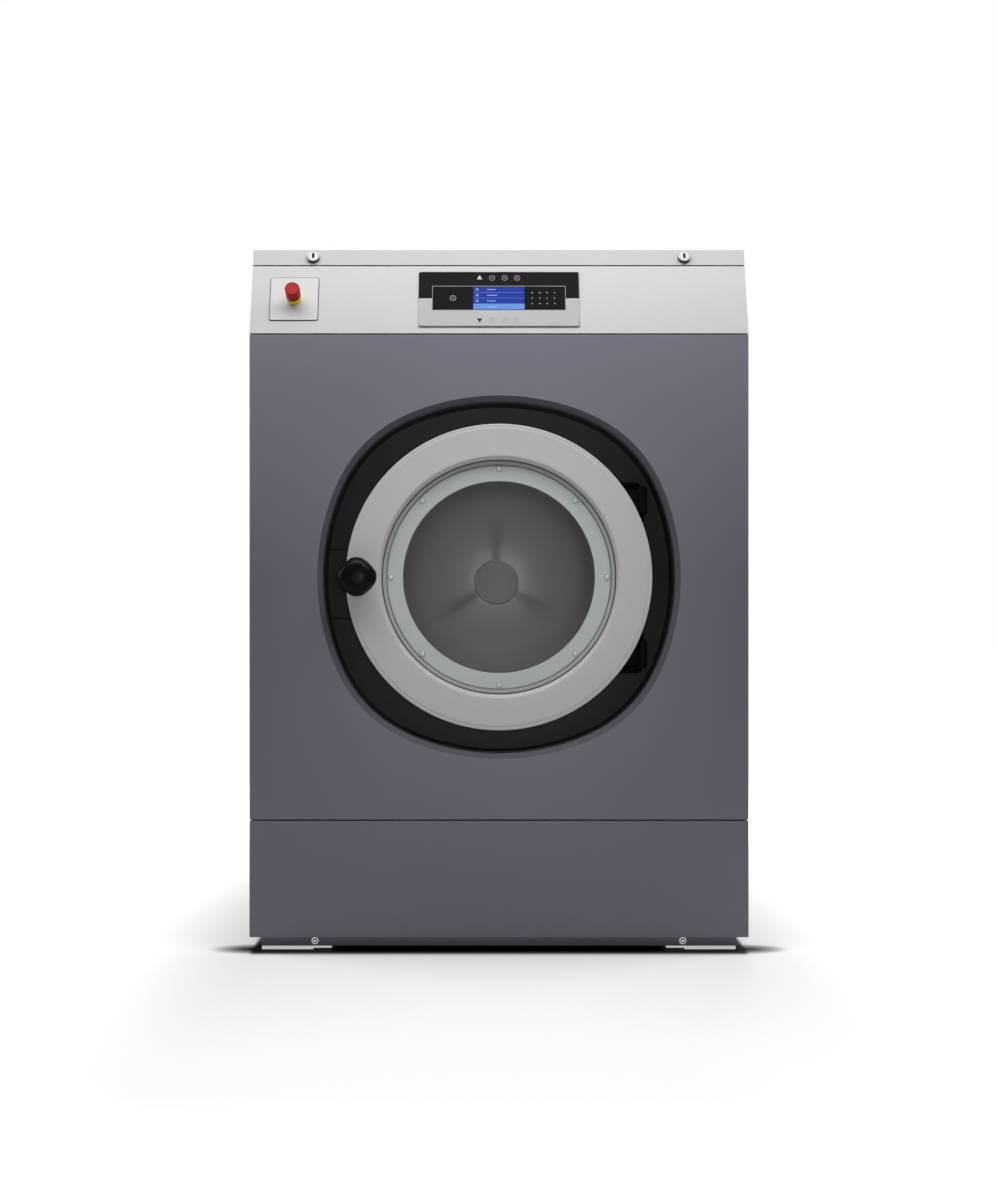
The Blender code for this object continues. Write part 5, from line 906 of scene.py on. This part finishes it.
def makeFrontPanel():
    width, height = panelHigh.x - panelLow.x, panelHigh.z - panelLow.z
    panel = addShape(bpy.ops.mesh.primitive_plane_add, size=1)
    editAll()
    bpy.ops.transform.resize(value=(width, height, 1))
    bpy.ops.mesh.delete(type="ONLY_FACE")
    selectAll()
    bpy.ops.mesh.subdivide(number_cuts=opening["points"] // 4 - 1)
    bpy.ops.mesh.select_all(action="DESELECT")
    bpy.ops.mesh.primitive_circle_add(vertices=opening["points"], radius=opening["radius"],
                                      fill_type="NOTHING")
    leaveEdit()
    shapeLoop(panel, opening["points"], opening["bevel"])
    enterEdit(panel)
    selectAll()
    bpy.ops.mesh.bridge_edge_loops()
    # the opening's edge is pulled inwards in steps, as a pressed chamfer with a lip behind it
    pickPoints(panel, lambda point: abs(point.z) < sliver and reachOf(point) < opening["radius"] * 1.1)
    reach, depthNow = opening["radius"] + opening["bevel"], 0.0
    for outward, nextDepth in opening["chamfer"]:
        nextReach = opening["radius"] + outward
        extrudeBy((0, 0, depthNow - nextDepth))
        scaleAbout(nextReach / reach)
        reach, depthNow = nextReach, nextDepth
    extrudeBy((0, 0, depthNow - opening["lip"]))

    def isRim(point):
        return abs(point.z) < sliver and max(abs(point.x) - width / 2, abs(point.y) - height / 2) > -sliver

    def isLip(centre, normal):  # inside the outer edge of the opening's chamfer
        return reachOf(centre) < openingReach(math.atan2(centre.y, centre.x), opening["bevel"] * 0.98)

    pickPoints(panel, isRim)
    extrudeBy((0, 0, -opening["fold"]))
    pickPoints(panel, isRim)
    bpy.ops.mesh.bevel(offset=opening["foldBend"], segments=3, affect="EDGES")
    selectAll()
    bpy.ops.mesh.normals_make_consistent(inside=False)
    leaveEdit()
    if sum(face.normal.z * face.area for face in panel.data.polygons) < 0:
        flipFaces(panel)
    applyModifier(panel, "SOLIDIFY", thickness=opening["sheet"], offset=-1)
    shadedLipFaces = pickIndices(panel, isLip)
    settle(panel, "front_sheet", "root", "frontShadedPaint", ("front_panel",),
           (0, frontY, (panelLow.z + panelHigh.z) / 2))
    # painted shade on the opening's chamfer
    addFinish(panel, "lipShadePaint", shadedLipFaces)


surround = {
    "start": 0.0105, "plateDepth": 0.0851, "wall": 0.0025, "holeRadius": 0.237, "cut": 0.02, "edge": 0.0008,
    "windowLeft": 0.234, "windowRight": 0.290, "windowInner": 0.112, "windowOuter": 0.190,
    "windowChamfer": 0.012, "blockRight": 0.020, "blockHalf": 0.0696, "blockDrop": 0.0114, "knobX": -0.274,
}


def plateTool(left, low, right, high):  # a block through the surround's plate
    depth, cut = surround["plateDepth"], surround["cut"]
    return makeBlock((left, low, -depth - cut), (right, high, -depth + cut))


def windowTool(side):
    right, outer = surround["windowRight"], surround["windowOuter"]
    tool = plateTool(surround["windowLeft"], surround["windowInner"], right, outer)
    enterEdit(tool, "EDGE")
    work = bmesh.from_edit_mesh(tool.data)
    for edge in work.edges:
        centre = (edge.verts[0].co + edge.verts[1].co) / 2
        edge.select = abs(centre.x - right) < 2 * sliver and abs(centre.y - outer) < 2 * sliver
    bmesh.update_edit_mesh(tool.data)
    bpy.ops.mesh.bevel(offset=surround["windowChamfer"], segments=1, affect="EDGES")
    leaveEdit()
    if side < 0:
        tool.scale = (1, -1, 1)
        selectOnly(tool)
        bpy.ops.object.transform_apply(scale=True)
        cleanMesh(tool)
    return tool


# The surround: a deep dark wall that follows the opening, and a plate at its bottom with a round hole.
def makeSurround():
    points, radius, hole = opening["points"], opening["radius"], surround["holeRadius"]
    body = addShape(bpy.ops.mesh.primitive_circle_add, vertices=points, radius=radius, fill_type="NOTHING")
    shapeLoop(body, 0, -opening["gap"])
    editAll()
    bpy.ops.transform.translate(value=(0, 0, -surround["start"]))
    extrudeBy((0, 0, surround["start"] - surround["plateDepth"] - surround["wall"]))
    extrudeBy((0, 0, 0))
    leaveEdit()
    for vertex in body.data.vertices[-points:]:  # the last loop becomes the round hole's edge
        angle = math.atan2(vertex.co.y, vertex.co.x)
        vertex.co.x, vertex.co.y = hole * math.cos(angle), hole * math.sin(angle)
    cleanMesh(body)
    facing = [face for face in body.data.polygons if abs(face.normal.z) > 0.9]
    if facing and facing[0].normal.z > 0:  # the plate's back is modelled, so it faces the machine
        flipFaces(body)
    applyModifier(body, "SOLIDIFY", thickness=surround["wall"], offset=-1, use_even_offset=True)
    for side in (1, -1):
        cutWith(body, windowTool(side))
    roundEdges(body, surround["edge"], segments=2, angle=50)
    # the latch block's place: two fine seams, above and below it
    centre, half = -surround["blockDrop"], surround["blockHalf"]
    left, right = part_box("latch_block")[0].x, surround["knobX"] + surround["blockRight"]
    cutWith(body, plateTool(left, centre - half, right, centre + half))
    settle(body, "surround_moulding", "root", "surroundPaintedSheen", ("door_surround",))


makeFrontPanel()
makeSurround()
print("front panel and surround made")


# Door

door = {
    "radius": 0.2976, "proud": 0.005, "back": 0.020, "backChamfer": 0.0036, "edge": 0.0062,
    "edgeRound": 0.0022, "edgeSteps": 8, "underEdge": 0.0010, "rimStep": 0.0005, "rimShoulder": 0.0040,
    "rimFall": 0.0014, "rimFoot": 0.0006, "seat": 0.017, "seatRadius": 0.193, "shelfRadius": 0.2187,
    "shelfDepth": 0.0092,
    "shelfEdge": 0.2285, "shelfFloor": 0.012, "lineWidth": 0.0006, "lineStart": 0.2263,
    "knobBore": 0.0075, "knobReach": 0.05, "knobSteps": 48, "steps": 256,
    "fillet": ((0.2195, 0.0134), (0.2200, 0.0132), (0.2262, 0.0124), (0.2267, 0.0126), (0.2270, 0.0146),
               (0.2281, 0.0146), (0.2284, 0.0116), (0.2289, 0.0100), (0.2300, 0.0070), (0.2314, 0.0040),
               (0.2330, 0.0016), (0.2348, 0.0003), (0.2360, 0.0), (0.2390, 0.0)),
}


def makeDoorRing():
    front, band, back = door["proud"], door["proud"] - door["rimStep"], -door["back"]
    radius, edge, seat = door["radius"], door["edgeRound"], -door["seat"]
    rim = radius - door["edge"]
    outline = [(door["seatRadius"], back), (door["seatRadius"], seat), (door["shelfRadius"], seat),
               (door["shelfRadius"], -door["shelfDepth"])]
    outline += [(reach, front - depth) for reach, depth in door["fillet"]]
    foot = door["rimFoot"]
    outline += [(rim - door["rimShoulder"], front), (rim - door["rimFall"], front), (rim - foot, band),
                (rim, band), (radius - edge - foot, band)]
    for step in range(door["edgeSteps"] + 1):
        angle = math.pi / 2 * step / door["edgeSteps"]
        outline.append((radius - edge + edge * math.sin(angle), band - edge * (1 - math.cos(angle))))
    outline += [(radius, band - edge - door["underEdge"]), (radius, back + door["backChamfer"]),
                (radius - door["backChamfer"], back)]
    ring = spinOutline(outline, door["steps"])
    hole = boreTool(door["knobBore"], door["knobReach"], door["knobSteps"])
    moveAside(hole, x=surround["knobX"])
    cutWith(ring, hole)

    def isShelf(centre, normal):
        return centre.z > -door["shelfFloor"] and reachOf(centre) < door["shelfEdge"]

    def isLine(index):  # the two lines along the shelf's edges, painted dark as shade in the creases
        reach = reachOf(ring.data.polygons[index].center)
        return reach < door["shelfRadius"] + door["lineWidth"] or reach > door["lineStart"]

    shelf = pickIndices(ring, isShelf)
    lines = [index for index in shelf if isLine(index)]
    settle(ring, "door_frame", "door", "ringPaint", ("door_ring",), smooth=40, even=False)
    addFinish(ring, "shelfPaint", [index for index in shelf if index not in lines])
    addFinish(ring, "edgeShadePaint", lines)


clamp = {
    "radius": 0.2176, "window": 0.187, "front": 0.010, "thickness": 0.0025, "round": 0.0010, "steps": 256,
    "screwCircle": 0.2106, "screws": 8, "screwRadius": 0.0054, "screwHeight": 0.0026, "screwRim": 0.0006,
    "footShare": 0.88, "screwSteps": 32,
}


def makeClampRing():
    front, window, outer = -clamp["front"], clamp["window"], clamp["radius"]
    back = front - clamp["thickness"]
    outline = [(window, back), (outer, back), (outer, front), (window, front)]
    ring = spinOutline(filletOutline(outline, {2: clamp["round"], 3: clamp["round"]}), clamp["steps"])
    settle(ring, "clamp_ring", "door", "clampSteel", ("glass_clamp_ring",))

    radius = clamp["screwRadius"]
    dome = domeOutline(radius, clamp["screwHeight"], clamp["screwRim"], 6)
    screw = spinOutline(dome, clamp["screwSteps"])
    smoothByAngle(screw, 40)
    footReach = radius * clamp["footShare"]
    # painted shade: a dark ring round the edge of each screw head
    foot = pickIndices(screw, lambda centre, normal: centre.z > 0 and reachOf(centre) > footReach)
    places = []
    for index in range(clamp["screws"]):
        angle = math.pi / 2 + 2 * math.pi * index / clamp["screws"]
        across, up = clamp["screwCircle"] * math.cos(angle), clamp["screwCircle"] * math.sin(angle)
        places.append((f"clamp_screw_{index}", (across, frontY - front, axisZ + up)))
    placeCopies(screw, places, "door", "screwSteel", second=("edgeShadePaint", foot))


bowl = {
    "front": 0.0128, "flangeBack": 0.0167, "flangeRadius": 0.212, "radius": 0.190, "reach": 0.160,
    "play": 0.001, "thickness": 0.004, "squareness": 3.4, "steps": 128, "rows": 22,
}


def bowlCurve(inset):  # a bulged bowl, from its rim to its middle
    radius, reach, points = bowl["radius"] - inset, bowl["reach"] - inset, []
    for row in range(bowl["rows"] + 1):
        angle = math.pi / 2 * row / bowl["rows"]
        wide, deep = math.cos(angle) ** (2 / bowl["squareness"]), math.sin(angle) ** (2 / bowl["squareness"])
        points.append((radius * wide if row < bowl["rows"] else 0.0, -bowl["flangeBack"] - reach * deep))
    return points


def makeGlassBowl():
    outer, inner = bowlCurve(bowl["play"]), bowlCurve(bowl["play"] + bowl["thickness"])
    outline = [(bowl["flangeRadius"], -bowl["flangeBack"])] + outer + inner[::-1]
    outline += [(inner[0][0], -bowl["front"]), (bowl["flangeRadius"], -bowl["front"])]
    glass = spinOutline(outline, bowl["steps"])
    settle(glass, "glass_bowl", "door", "doorGlass", ("door_glass",), smooth=40)


knob = {
    "radius": 0.0385, "base": 0.0056, "reach": 0.0494, "bore": 0.0073, "boreDepth": 0.0203,
    "lobe": 0.075, "lobes": 4, "lobePower": 0.6, "lobeStart": 0.7, "stalkShare": 0.5, "steps": 128,
    "shares": ((0.42, 0.0), (0.42, 0.16), (0.62, 0.21), (0.86, 0.28), (0.97, 0.38), (1.0, 0.50),
               (0.985, 0.62), (0.93, 0.75), (0.82, 0.86), (0.64, 0.94), (0.42, 0.985), (0.20, 1.0),
               (0.0, 1.0)),
}


def makeKnob():
    base, floor = knob["base"], knob["base"] + knob["boreDepth"]
    outline = [(0, floor), (knob["bore"], floor), (knob["bore"], base)]
    outline += [(knob["radius"] * wide, base + knob["reach"] * far) for wide, far in knob["shares"]]
    body = spinOutline(outline, knob["steps"])
    stalk = knob["radius"] * knob["stalkShare"]
    for vertex in body.data.vertices:  # four soft lobes, from the stalk outwards
        reach = reachOf(vertex.co)
        if reach > stalk:
            wave = math.cos(knob["lobes"] * math.atan2(vertex.co.y, vertex.co.x))
            shaped = math.copysign(abs(wave) ** knob["lobePower"], wave)
            growth = min(1.0, (reach - stalk) / (stalk * knob["lobeStart"]))
            share = 1 - knob["lobe"] * (1 - shaped) / 2 * growth
            vertex.co.x, vertex.co.y = vertex.co.x * share, vertex.co.y * share
    applyModifier(body, "SUBSURF", levels=1, render_levels=1)
    settle(body, "latch_knob", "door_latch", "knobBlack", ("door_knob",),
           (surround["knobX"], frontY, axisZ), smooth=50)


makeDoorRing()
makeClampRing()
makeGlassBowl()
makeKnob()
print("door made")


# Drum and tub

drum = {
    "radius": 0.375, "wall": 0.002, "front": 0.1449, "rear": 0.5449, "mouth": 0.205, "play": 0.0005,
    "edgeRound": 0.0018, "innerWall": 0.3727, "backThickness": 0.005, "stations": 56, "start": 0.020,
    "spokes": (90, 210, 330), "grooveStart": 0.023, "grooveEnd": 0.240, "grooveWidth": 0.012,
    "grooveDepth": 0.0016, "grooveNarrow": 0.55, "grooveSpread": 0.8, "grooveFade": 1.5, "steps": 192,
    "gap": 0.0003,
}


def grooveSink(reach, angle):  # three pressed grooves that run out from the hub and fade
    share, sink = reach / drum["grooveEnd"], 0.0
    for spoke in drum["spokes"]:
        away = math.remainder(angle - math.radians(spoke), 2 * math.pi)
        if abs(away) < math.pi / 3:
            across = abs(reach * math.sin(away))
            width = drum["grooveWidth"] * (drum["grooveNarrow"] + drum["grooveSpread"] * share)
            fade = 1 - share ** drum["grooveFade"]
            sink += drum["grooveDepth"] * fade * math.exp(-(across / width) ** 2 * 2)
    return sink


def makeDrumBack():
    rear, start, stations = -drum["rear"], drum["start"], drum["stations"]
    front = rear + drum["backThickness"]
    back = addShape(bpy.ops.mesh.primitive_circle_add, vertices=drum["steps"], radius=start, fill_type="NGON")
    editAll()
    bpy.ops.transform.translate(value=(0, 0, front))
    enterEdit(back, "EDGE")
    selectAll()
    bpy.ops.mesh.region_to_loop()
    reach, span = start, drum["innerWall"] - drum["gap"] - start
    for station in range(1, stations + 1):
        nextReach = start + span * station / stations
        extrudeBy((0, 0, 0))
        scaleAbout(nextReach / reach, front)
        reach = nextReach
    extrudeBy((0, 0, rear - front))
    bpy.ops.mesh.edge_face_add()
    leaveEdit()
    for vertex in back.data.vertices:
        reach = reachOf(vertex.co)
        if abs(vertex.co.z - front) <= 2 * sliver and drum["grooveStart"] <= reach <= drum["grooveEnd"]:
            vertex.co.z -= grooveSink(reach, math.atan2(vertex.co.y, vertex.co.x))
    cleanMesh(back)
    settle(back, "drum_rear_wall", "drum", "radialSteel", ("drum_back",))


hub = {"radius": 0.050, "height": 0.007, "flatShare": 0.6, "dish": 0.0002, "edgeRound": 0.0022, "steps": 96}


def makeHubCap():
    low, radius = drum["backThickness"] - drum["rear"] + drum["gap"], hub["radius"]
    high = low + hub["height"]
    outline = [(0, low), (radius, low), (radius, high), (radius * hub["flatShare"], high - hub["dish"]),
               (0, high - hub["dish"])]
    cap = spinOutline(filletOutline(outline, {2: hub["edgeRound"]}), hub["steps"])
    # painted shade on the cover's edge faces
    shadedEdgeFaces = pickIndices(cap, lambda centre, normal: abs(normal.z) < 0.8)
    settle(cap, "hub_cover", "drum", "hubSteel", ("drum_hub_cap",))
    addFinish(cap, "lipShadePaint", shadedEdgeFaces)


def makeDrumBasket():
    wall, front, rear = drum["wall"], -drum["front"], -drum["rear"]
    radius, mouth = drum["radius"] - drum["play"], drum["mouth"] + drum["play"]
    inner = radius - wall + drum["play"]
    outline = [(mouth, front - wall), (mouth, front), (radius, front), (radius, rear), (inner, rear),
               (inner, front - wall)]
    basket = spinOutline(filletOutline(outline, {2: drum["edgeRound"]}), drum["steps"])
    settle(basket, "drum_cylinder", "drum", "drumWall", ("drum_basket",))


tub = {
    "neck": 0.215, "neckFront": 0.032, "front": 0.1199, "outer": 0.410, "wall": 0.003, "shownTo": 0.235,
    "outerRound": 0.0015, "innerRound": 0.004,
}


def makeTubFront():
    neck, outer, wall = tub["neck"], tub["outer"], tub["wall"]
    front, neckFront = -tub["front"], -tub["neckFront"]
    outline = [(neck, neckFront), (neck, front - wall), (outer, front - wall), (outer, front),
               (neck + wall, front), (neck + wall, neckFront)]
    face = spinOutline(filletOutline(outline, {1: tub["outerRound"], 4: tub["innerRound"]}), drum["steps"])
    # painted shade: outside the neck the steel face is painted black, as it sits in shade behind the hinge
    # windows
    paintedShadeFaces = pickIndices(face, lambda centre, normal: reachOf(centre) > tub["shownTo"])
    settle(face, "tub_face", "root", "brushedSteel", ("tub_front",))
    addFinish(face, "blackCastingAndShade", paintedShadeFaces)


gasket = {
    "front": 0.0203, "rear": 0.0317, "inner": 0.211, "outer": 0.222, "innerLean": 0.0015, "outerLean": 0.001,
    "lip": 0.003, "lipDepth": 0.004, "edgeRound": 0.0008,
}


def makeGasket():
    front, rear, inner, outer = -gasket["front"], -gasket["rear"], gasket["inner"], gasket["outer"]
    lip, shoulder = gasket["lip"], front - gasket["lipDepth"]
    outline = [(inner, rear), (inner + gasket["innerLean"], shoulder), (inner + lip, front),
               (outer - lip, front), (outer - gasket["outerLean"], shoulder), (outer, rear)]
    seal = spinOutline(outline, drum["steps"])
    roundEdges(seal, gasket["edgeRound"], segments=3)
    settle(seal, "door_seal", "root", "gasketRubber", ("door_gasket",), smooth=40)


makeDrumBack()
makeHubCap()
makeDrumBasket()
makeTubFront()
makeGasket()
print("drum and tub made")


# CAD nodes that stay: their own finish, and edges softened where the real ones are bent or moulded.

keptLooks = {
    # the plinth and front feet take painted light: a paler paint and a glowing zinc
    "base_frame": ("framePaint", 0.002), "front_plinth": ("plinthLitPaint", 0.0004),
    "foot_front_left": ("footZincGlow", 0.0006), "foot_front_right": ("footZincGlow", 0.0006),
    "foot_rear_left": ("galvanised", 0.0006), "foot_rear_right": ("galvanised", 0.0006),
    "side_panel_left": ("panelPaint", 0.0007), "side_panel_right": ("panelPaint", 0.0007),
    "rear_panel": ("galvanised", 0.0), "lower_front_panel": ("panelPaint", 0.0007),
    "control_fascia": ("fasciaPaint", 0.0006), "top_cover": ("coverPaint", 0.0006),
    "top_hinge_left": ("galvanised", 0.0), "top_hinge_right": ("galvanised", 0.0),
    "estop_stem": ("machinedSteel", 0.0), "latch_block": ("surroundPaintedSheen", 0.0),
    "hinge_bracket_upper": ("blackCastingAndShade", 0.0008), "hinge_bracket_lower": ("blackCastingAndShade", 0.0008),
    "hinge_arm_upper": ("blackCastingAndShade", 0.0006), "hinge_arm_lower": ("blackCastingAndShade", 0.0006),
    "latch_shaft": ("machinedSteel", 0.0), "tub_shell": ("brushedSteel", 0.0),
    "tub_cradle_front": ("framePaint", 0.0), "tub_cradle_rear": ("framePaint", 0.0),
    "bearing_housing": ("castIron", 0.0), "bearing_front": ("machinedSteel", 0.0),
    "bearing_rear": ("machinedSteel", 0.0), "drum_lifter_top": ("brushedSteel", 0.008),
    "drum_lifter_left": ("brushedSteel", 0.008), "drum_lifter_right": ("brushedSteel", 0.008),
    "drum_shaft": ("castIron", 0.0), "driven_pulley": ("castIron", 0.0), "drive_belt": ("gasketRubber", 0.0),
    "motor_body": ("motorPaint", 0.0), "motor_pulley": ("machinedSteel", 0.0),
    "drain_valve": ("greyMoulding", 0.0), "water_inlet_valve": ("greyMoulding", 0.0),
    "mains_terminal_box": ("greyMoulding", 0.002), "dispenser_box": ("greyMoulding", 0.0),
    "dispenser_lid": ("coverPaint", 0.0006),
}


def dressKeptNodes():
    for name, (finish, width) in keptLooks.items():
        node = nodes[name]
        node.data.materials.clear()
        node.data.materials.append(finishes[finish])
        if width:
            weld = node.modifiers.new("weld", "WELD")
            weld.merge_threshold = 0.00001
            bevel = node.modifiers.new("softEdge", "BEVEL")
            bevel.width, bevel.segments = width, 2
            bevel.limit_method, bevel.angle_limit = "ANGLE", math.radians(40)


dressKeptNodes()
print("kept nodes dressed:", len(keptLooks))

bolt = {
    "x": 0.360, "z": 0.0173, "washer": 0.0066, "washerHeight": 0.0008, "washerRound": 0.0003, "head": 0.0045,
    "height": 0.0028, "headRound": 0.0010, "flare": 0.0003, "flareRise": 0.0001, "socketShare": 0.5,
    "socketFloor": 0.45, "socketDepth": 0.0015, "steps": 40,
}


def makePlinthBolts():
    head, height, washer, low = bolt["head"], bolt["height"], bolt["washer"], bolt["washerHeight"]
    socket, floor, flare = head * bolt["socketShare"], height - bolt["socketDepth"], bolt["flare"]
    outline = [(0, 0), (washer, 0), (washer, low), (head + flare, low + bolt["flareRise"]), (head, height),
               (socket, height), (head * bolt["socketFloor"], floor), (0, floor)]
    rounding = {2: bolt["washerRound"], 4: bolt["headRound"]}
    source = spinOutline(filletOutline(outline, rounding), bolt["steps"])
    smoothByAngle(source)
    reachLimit = head + flare + bolt["flareRise"]
    # painted shade on the head's top and flank; the whole bolt glows a little as painted light
    dark = pickIndices(source, lambda centre, normal: socket < reachOf(centre) < reachLimit)
    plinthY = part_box("front_plinth")[0].y
    places = [(f"plinth_bolt_{word}", (side * bolt["x"], plinthY, bolt["z"]))
              for side, word in ((-1, "left"), (1, "right"))]
    placeCopies(source, places, "root", "footZincGlow", second=("edgeShadePaint", dark))


sheetScrew = {
    "radius": 0.0055, "height": 0.0024, "rim": 0.0005, "curve": 5, "edge": 0.018, "rows": 6, "columns": 5,
    "steps": 20,
}


def makeRearScrews():  # the rear sheet's screws, in a row along each edge
    low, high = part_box("rear_panel")
    edge, rows, columns = sheetScrew["edge"], sheetScrew["rows"], sheetScrew["columns"]
    dome = domeOutline(sheetScrew["radius"], sheetScrew["height"], sheetScrew["rim"], sheetScrew["curve"])
    source = spinOutline(dome, sheetScrew["steps"])
    smoothByAngle(source, 40)
    left, right, bottom, top = low.x + edge, high.x - edge, low.z + edge, high.z - edge
    spots = [(x, bottom + (top - bottom) * row / (rows - 1)) for x in (left, right) for row in range(rows)]
    spots += [(left + (right - left) * column / (columns - 1), z)
              for z in (bottom, top) for column in range(1, columns - 1)]
    places = [(f"rear_screw_{index}", (x, high.y, z)) for index, (x, z) in enumerate(spots)]
    placeCopies(source, places, "root", "boltSteel", -uprightTilt)


makePlinthBolts()
makeRearScrews()
print("small fasteners made")


# Floor, light and camera

studio = {
    "lens": 50, "sensor": 36, "cameraX": -0.035, "cameraZ": 0.6548, "cameraBack": 3.238, "shiftX": 0.015,
    "shiftY": 0.0125, "worldLight": 0.06, "floorSize": 60, "floorDrop": 0.0002, "footHalfX": 0.475,
    # shadowStart, shadowEnd and shadowShade set the shadow painted into the floor's colour near the footprint
    "footHalfY": 0.415, "sideReach": 4.0, "shadowStart": 0.018, "shadowEnd": 0.045, "shadowShade": 0.01,
    "shadowPatchWide": 0.095, "shadowPatchDeep": 0.052, "shadowPatchBack": 0.400,
    "lift": ((0.0, 0.0), (0.03, 0.08), (0.06, 0.28), (0.3, 0.32), (0.5, 0.37), (0.8, 0.47), (1.0, 0.53),
             (1.5, 1.0)),
}
floorLook = {"colour": (0.80, 0.80, 0.80), "roughness": 0.7, "specular": 0.05}


def seenByEye(tree):  # one where the eye looks, straight on or through the glass; nought for light itself
    path = addNode(tree, "ShaderNodeLightPath")
    return addMath(tree, "MAXIMUM", path.outputs["Is Camera Ray"], path.outputs["Is Transmission Ray"])


def makeFloor():
    floor = addShape(bpy.ops.mesh.primitive_plane_add, size=studio["floorSize"],
                     location=(0, 0, -studio["floorDrop"]))
    floor.name = "studio_floor"
    material, tree, shader, vector = startMaterial("studioFloor", floorLook)
    # the paper floor whitens with distance from the machine's footprint; close in, its colour is painted dark
    # and its glow kept low, as a painted shadow
    place, beyond = splitVector(tree, vector), {}
    for axis, half in (("X", studio["footHalfX"]), ("Y", studio["footHalfY"])):
        past = addMath(tree, "SUBTRACT", addMath(tree, "ABSOLUTE", place[axis]), half)
        beyond[axis] = addMath(tree, "MAXIMUM", past, 0.0)
    away = addLength(tree, addMath(tree, "MULTIPLY", beyond["X"], studio["sideReach"]), beyond["Y"])
    # a painted shadow: a soft dark patch on the floor beside each front foot
    aside = addMath(tree, "DIVIDE", beyond["X"], studio["shadowPatchWide"])
    ahead = addMath(tree, "ADD", place["Y"], studio["shadowPatchBack"])
    ahead = addMath(tree, "DIVIDE", ahead, studio["shadowPatchDeep"])
    spreads = [addMath(tree, "MULTIPLY", value, value) for value in (aside, ahead)]
    shadowPatch = addRange(tree, addMath(tree, "ADD", *spreads), 0.0, 1.0)
    pale = floorLook["colour"]
    near = addRange(tree, away, 0.0, 1.0, studio["shadowStart"], studio["shadowEnd"])
    shades = ((0.0, shadeOf(pale, studio["shadowShade"])), (1.0, pale))
    near = addRamp(tree, addMath(tree, "MULTIPLY", near, shadowPatch), shades)
    tree.links.new(near, shader.inputs["Base Color"])
    reach = studio["lift"][-1][0]
    levels = [(distance / reach, (level, level, level)) for distance, level in studio["lift"]]
    lift = addRamp(tree, addMath(tree, "DIVIDE", away, reach), levels)
    tree.links.new(lift, shader.inputs["Emission Color"])
    tree.links.new(addMath(tree, "MULTIPLY", seenByEye(tree), shadowPatch), shader.inputs["Emission Strength"])
    floor.data.materials.append(material)


def makeWorld():
    world = bpy.data.worlds.new("studio")
    bpy.context.scene.world = world
    world.use_nodes = True
    tree = world.node_tree
    background = tree.nodes["Background"]
    background.inputs["Color"].default_value = (1, 1, 1, 1)
    tree.links.new(addRange(tree, seenByEye(tree), studio["worldLight"], 1.0), background.inputs["Strength"])


lampColumns = ("place", "aim", "wide", "deep", "spread", "power")
lampRows = {
    "fill": ((0.0, -2.7, 0.72), (0, 0, 0.71), 0.4, 0.4, 24, 0.19),
    "top": ((0.0, -1.00, 2.15), (0, -0.42, 1.1), 2.4, 0.6, 180, 22.5),
    "left": ((-2.6, 0.5, 1.5), (0, 0.1, 0.7), 1.8, 1.8, 120, 20),
    "right": ((2.6, 0.5, 1.5), (0, 0.1, 0.7), 1.8, 1.8, 120, 20),
    "rear": ((0.4, 3.0, 1.6), (0, 0, 0.8), 2.0, 2.0, 120, 25),
}


def makeLamps():
    for name, row in lampRows.items():
        lamp = dict(zip(lampColumns, row))
        data = bpy.data.lights.new(name, "AREA")
        data.shape, data.size, data.size_y = "RECTANGLE", lamp["wide"], lamp["deep"]
        data.energy, data.spread = lamp["power"], math.radians(lamp["spread"])
        item = bpy.data.objects.new(name, data)
        item.visible_camera = False
        item.location = lamp["place"]
        aim = Vector(lamp["aim"]) - Vector(lamp["place"])
        item.rotation_euler = aim.to_track_quat("-Z", "Y").to_euler()
        bpy.context.scene.collection.objects.link(item)


def makeCamera():
    data = bpy.data.cameras.new("photoCamera")
    data.lens, data.sensor_width, data.sensor_fit = studio["lens"], studio["sensor"], "AUTO"
    data.shift_x, data.shift_y = studio["shiftX"], studio["shiftY"]
    camera = bpy.data.objects.new("photoCamera", data)
    camera.location = (studio["cameraX"], frontY - studio["cameraBack"], studio["cameraZ"])
    camera.rotation_euler = (uprightTilt, 0, 0)
    bpy.context.scene.collection.objects.link(camera)
    bpy.context.scene.camera = camera


makeFloor()
makeWorld()
makeLamps()
makeCamera()
bpy.context.scene.view_settings.view_transform = "Standard"
print("studio made")

leaveEdit()
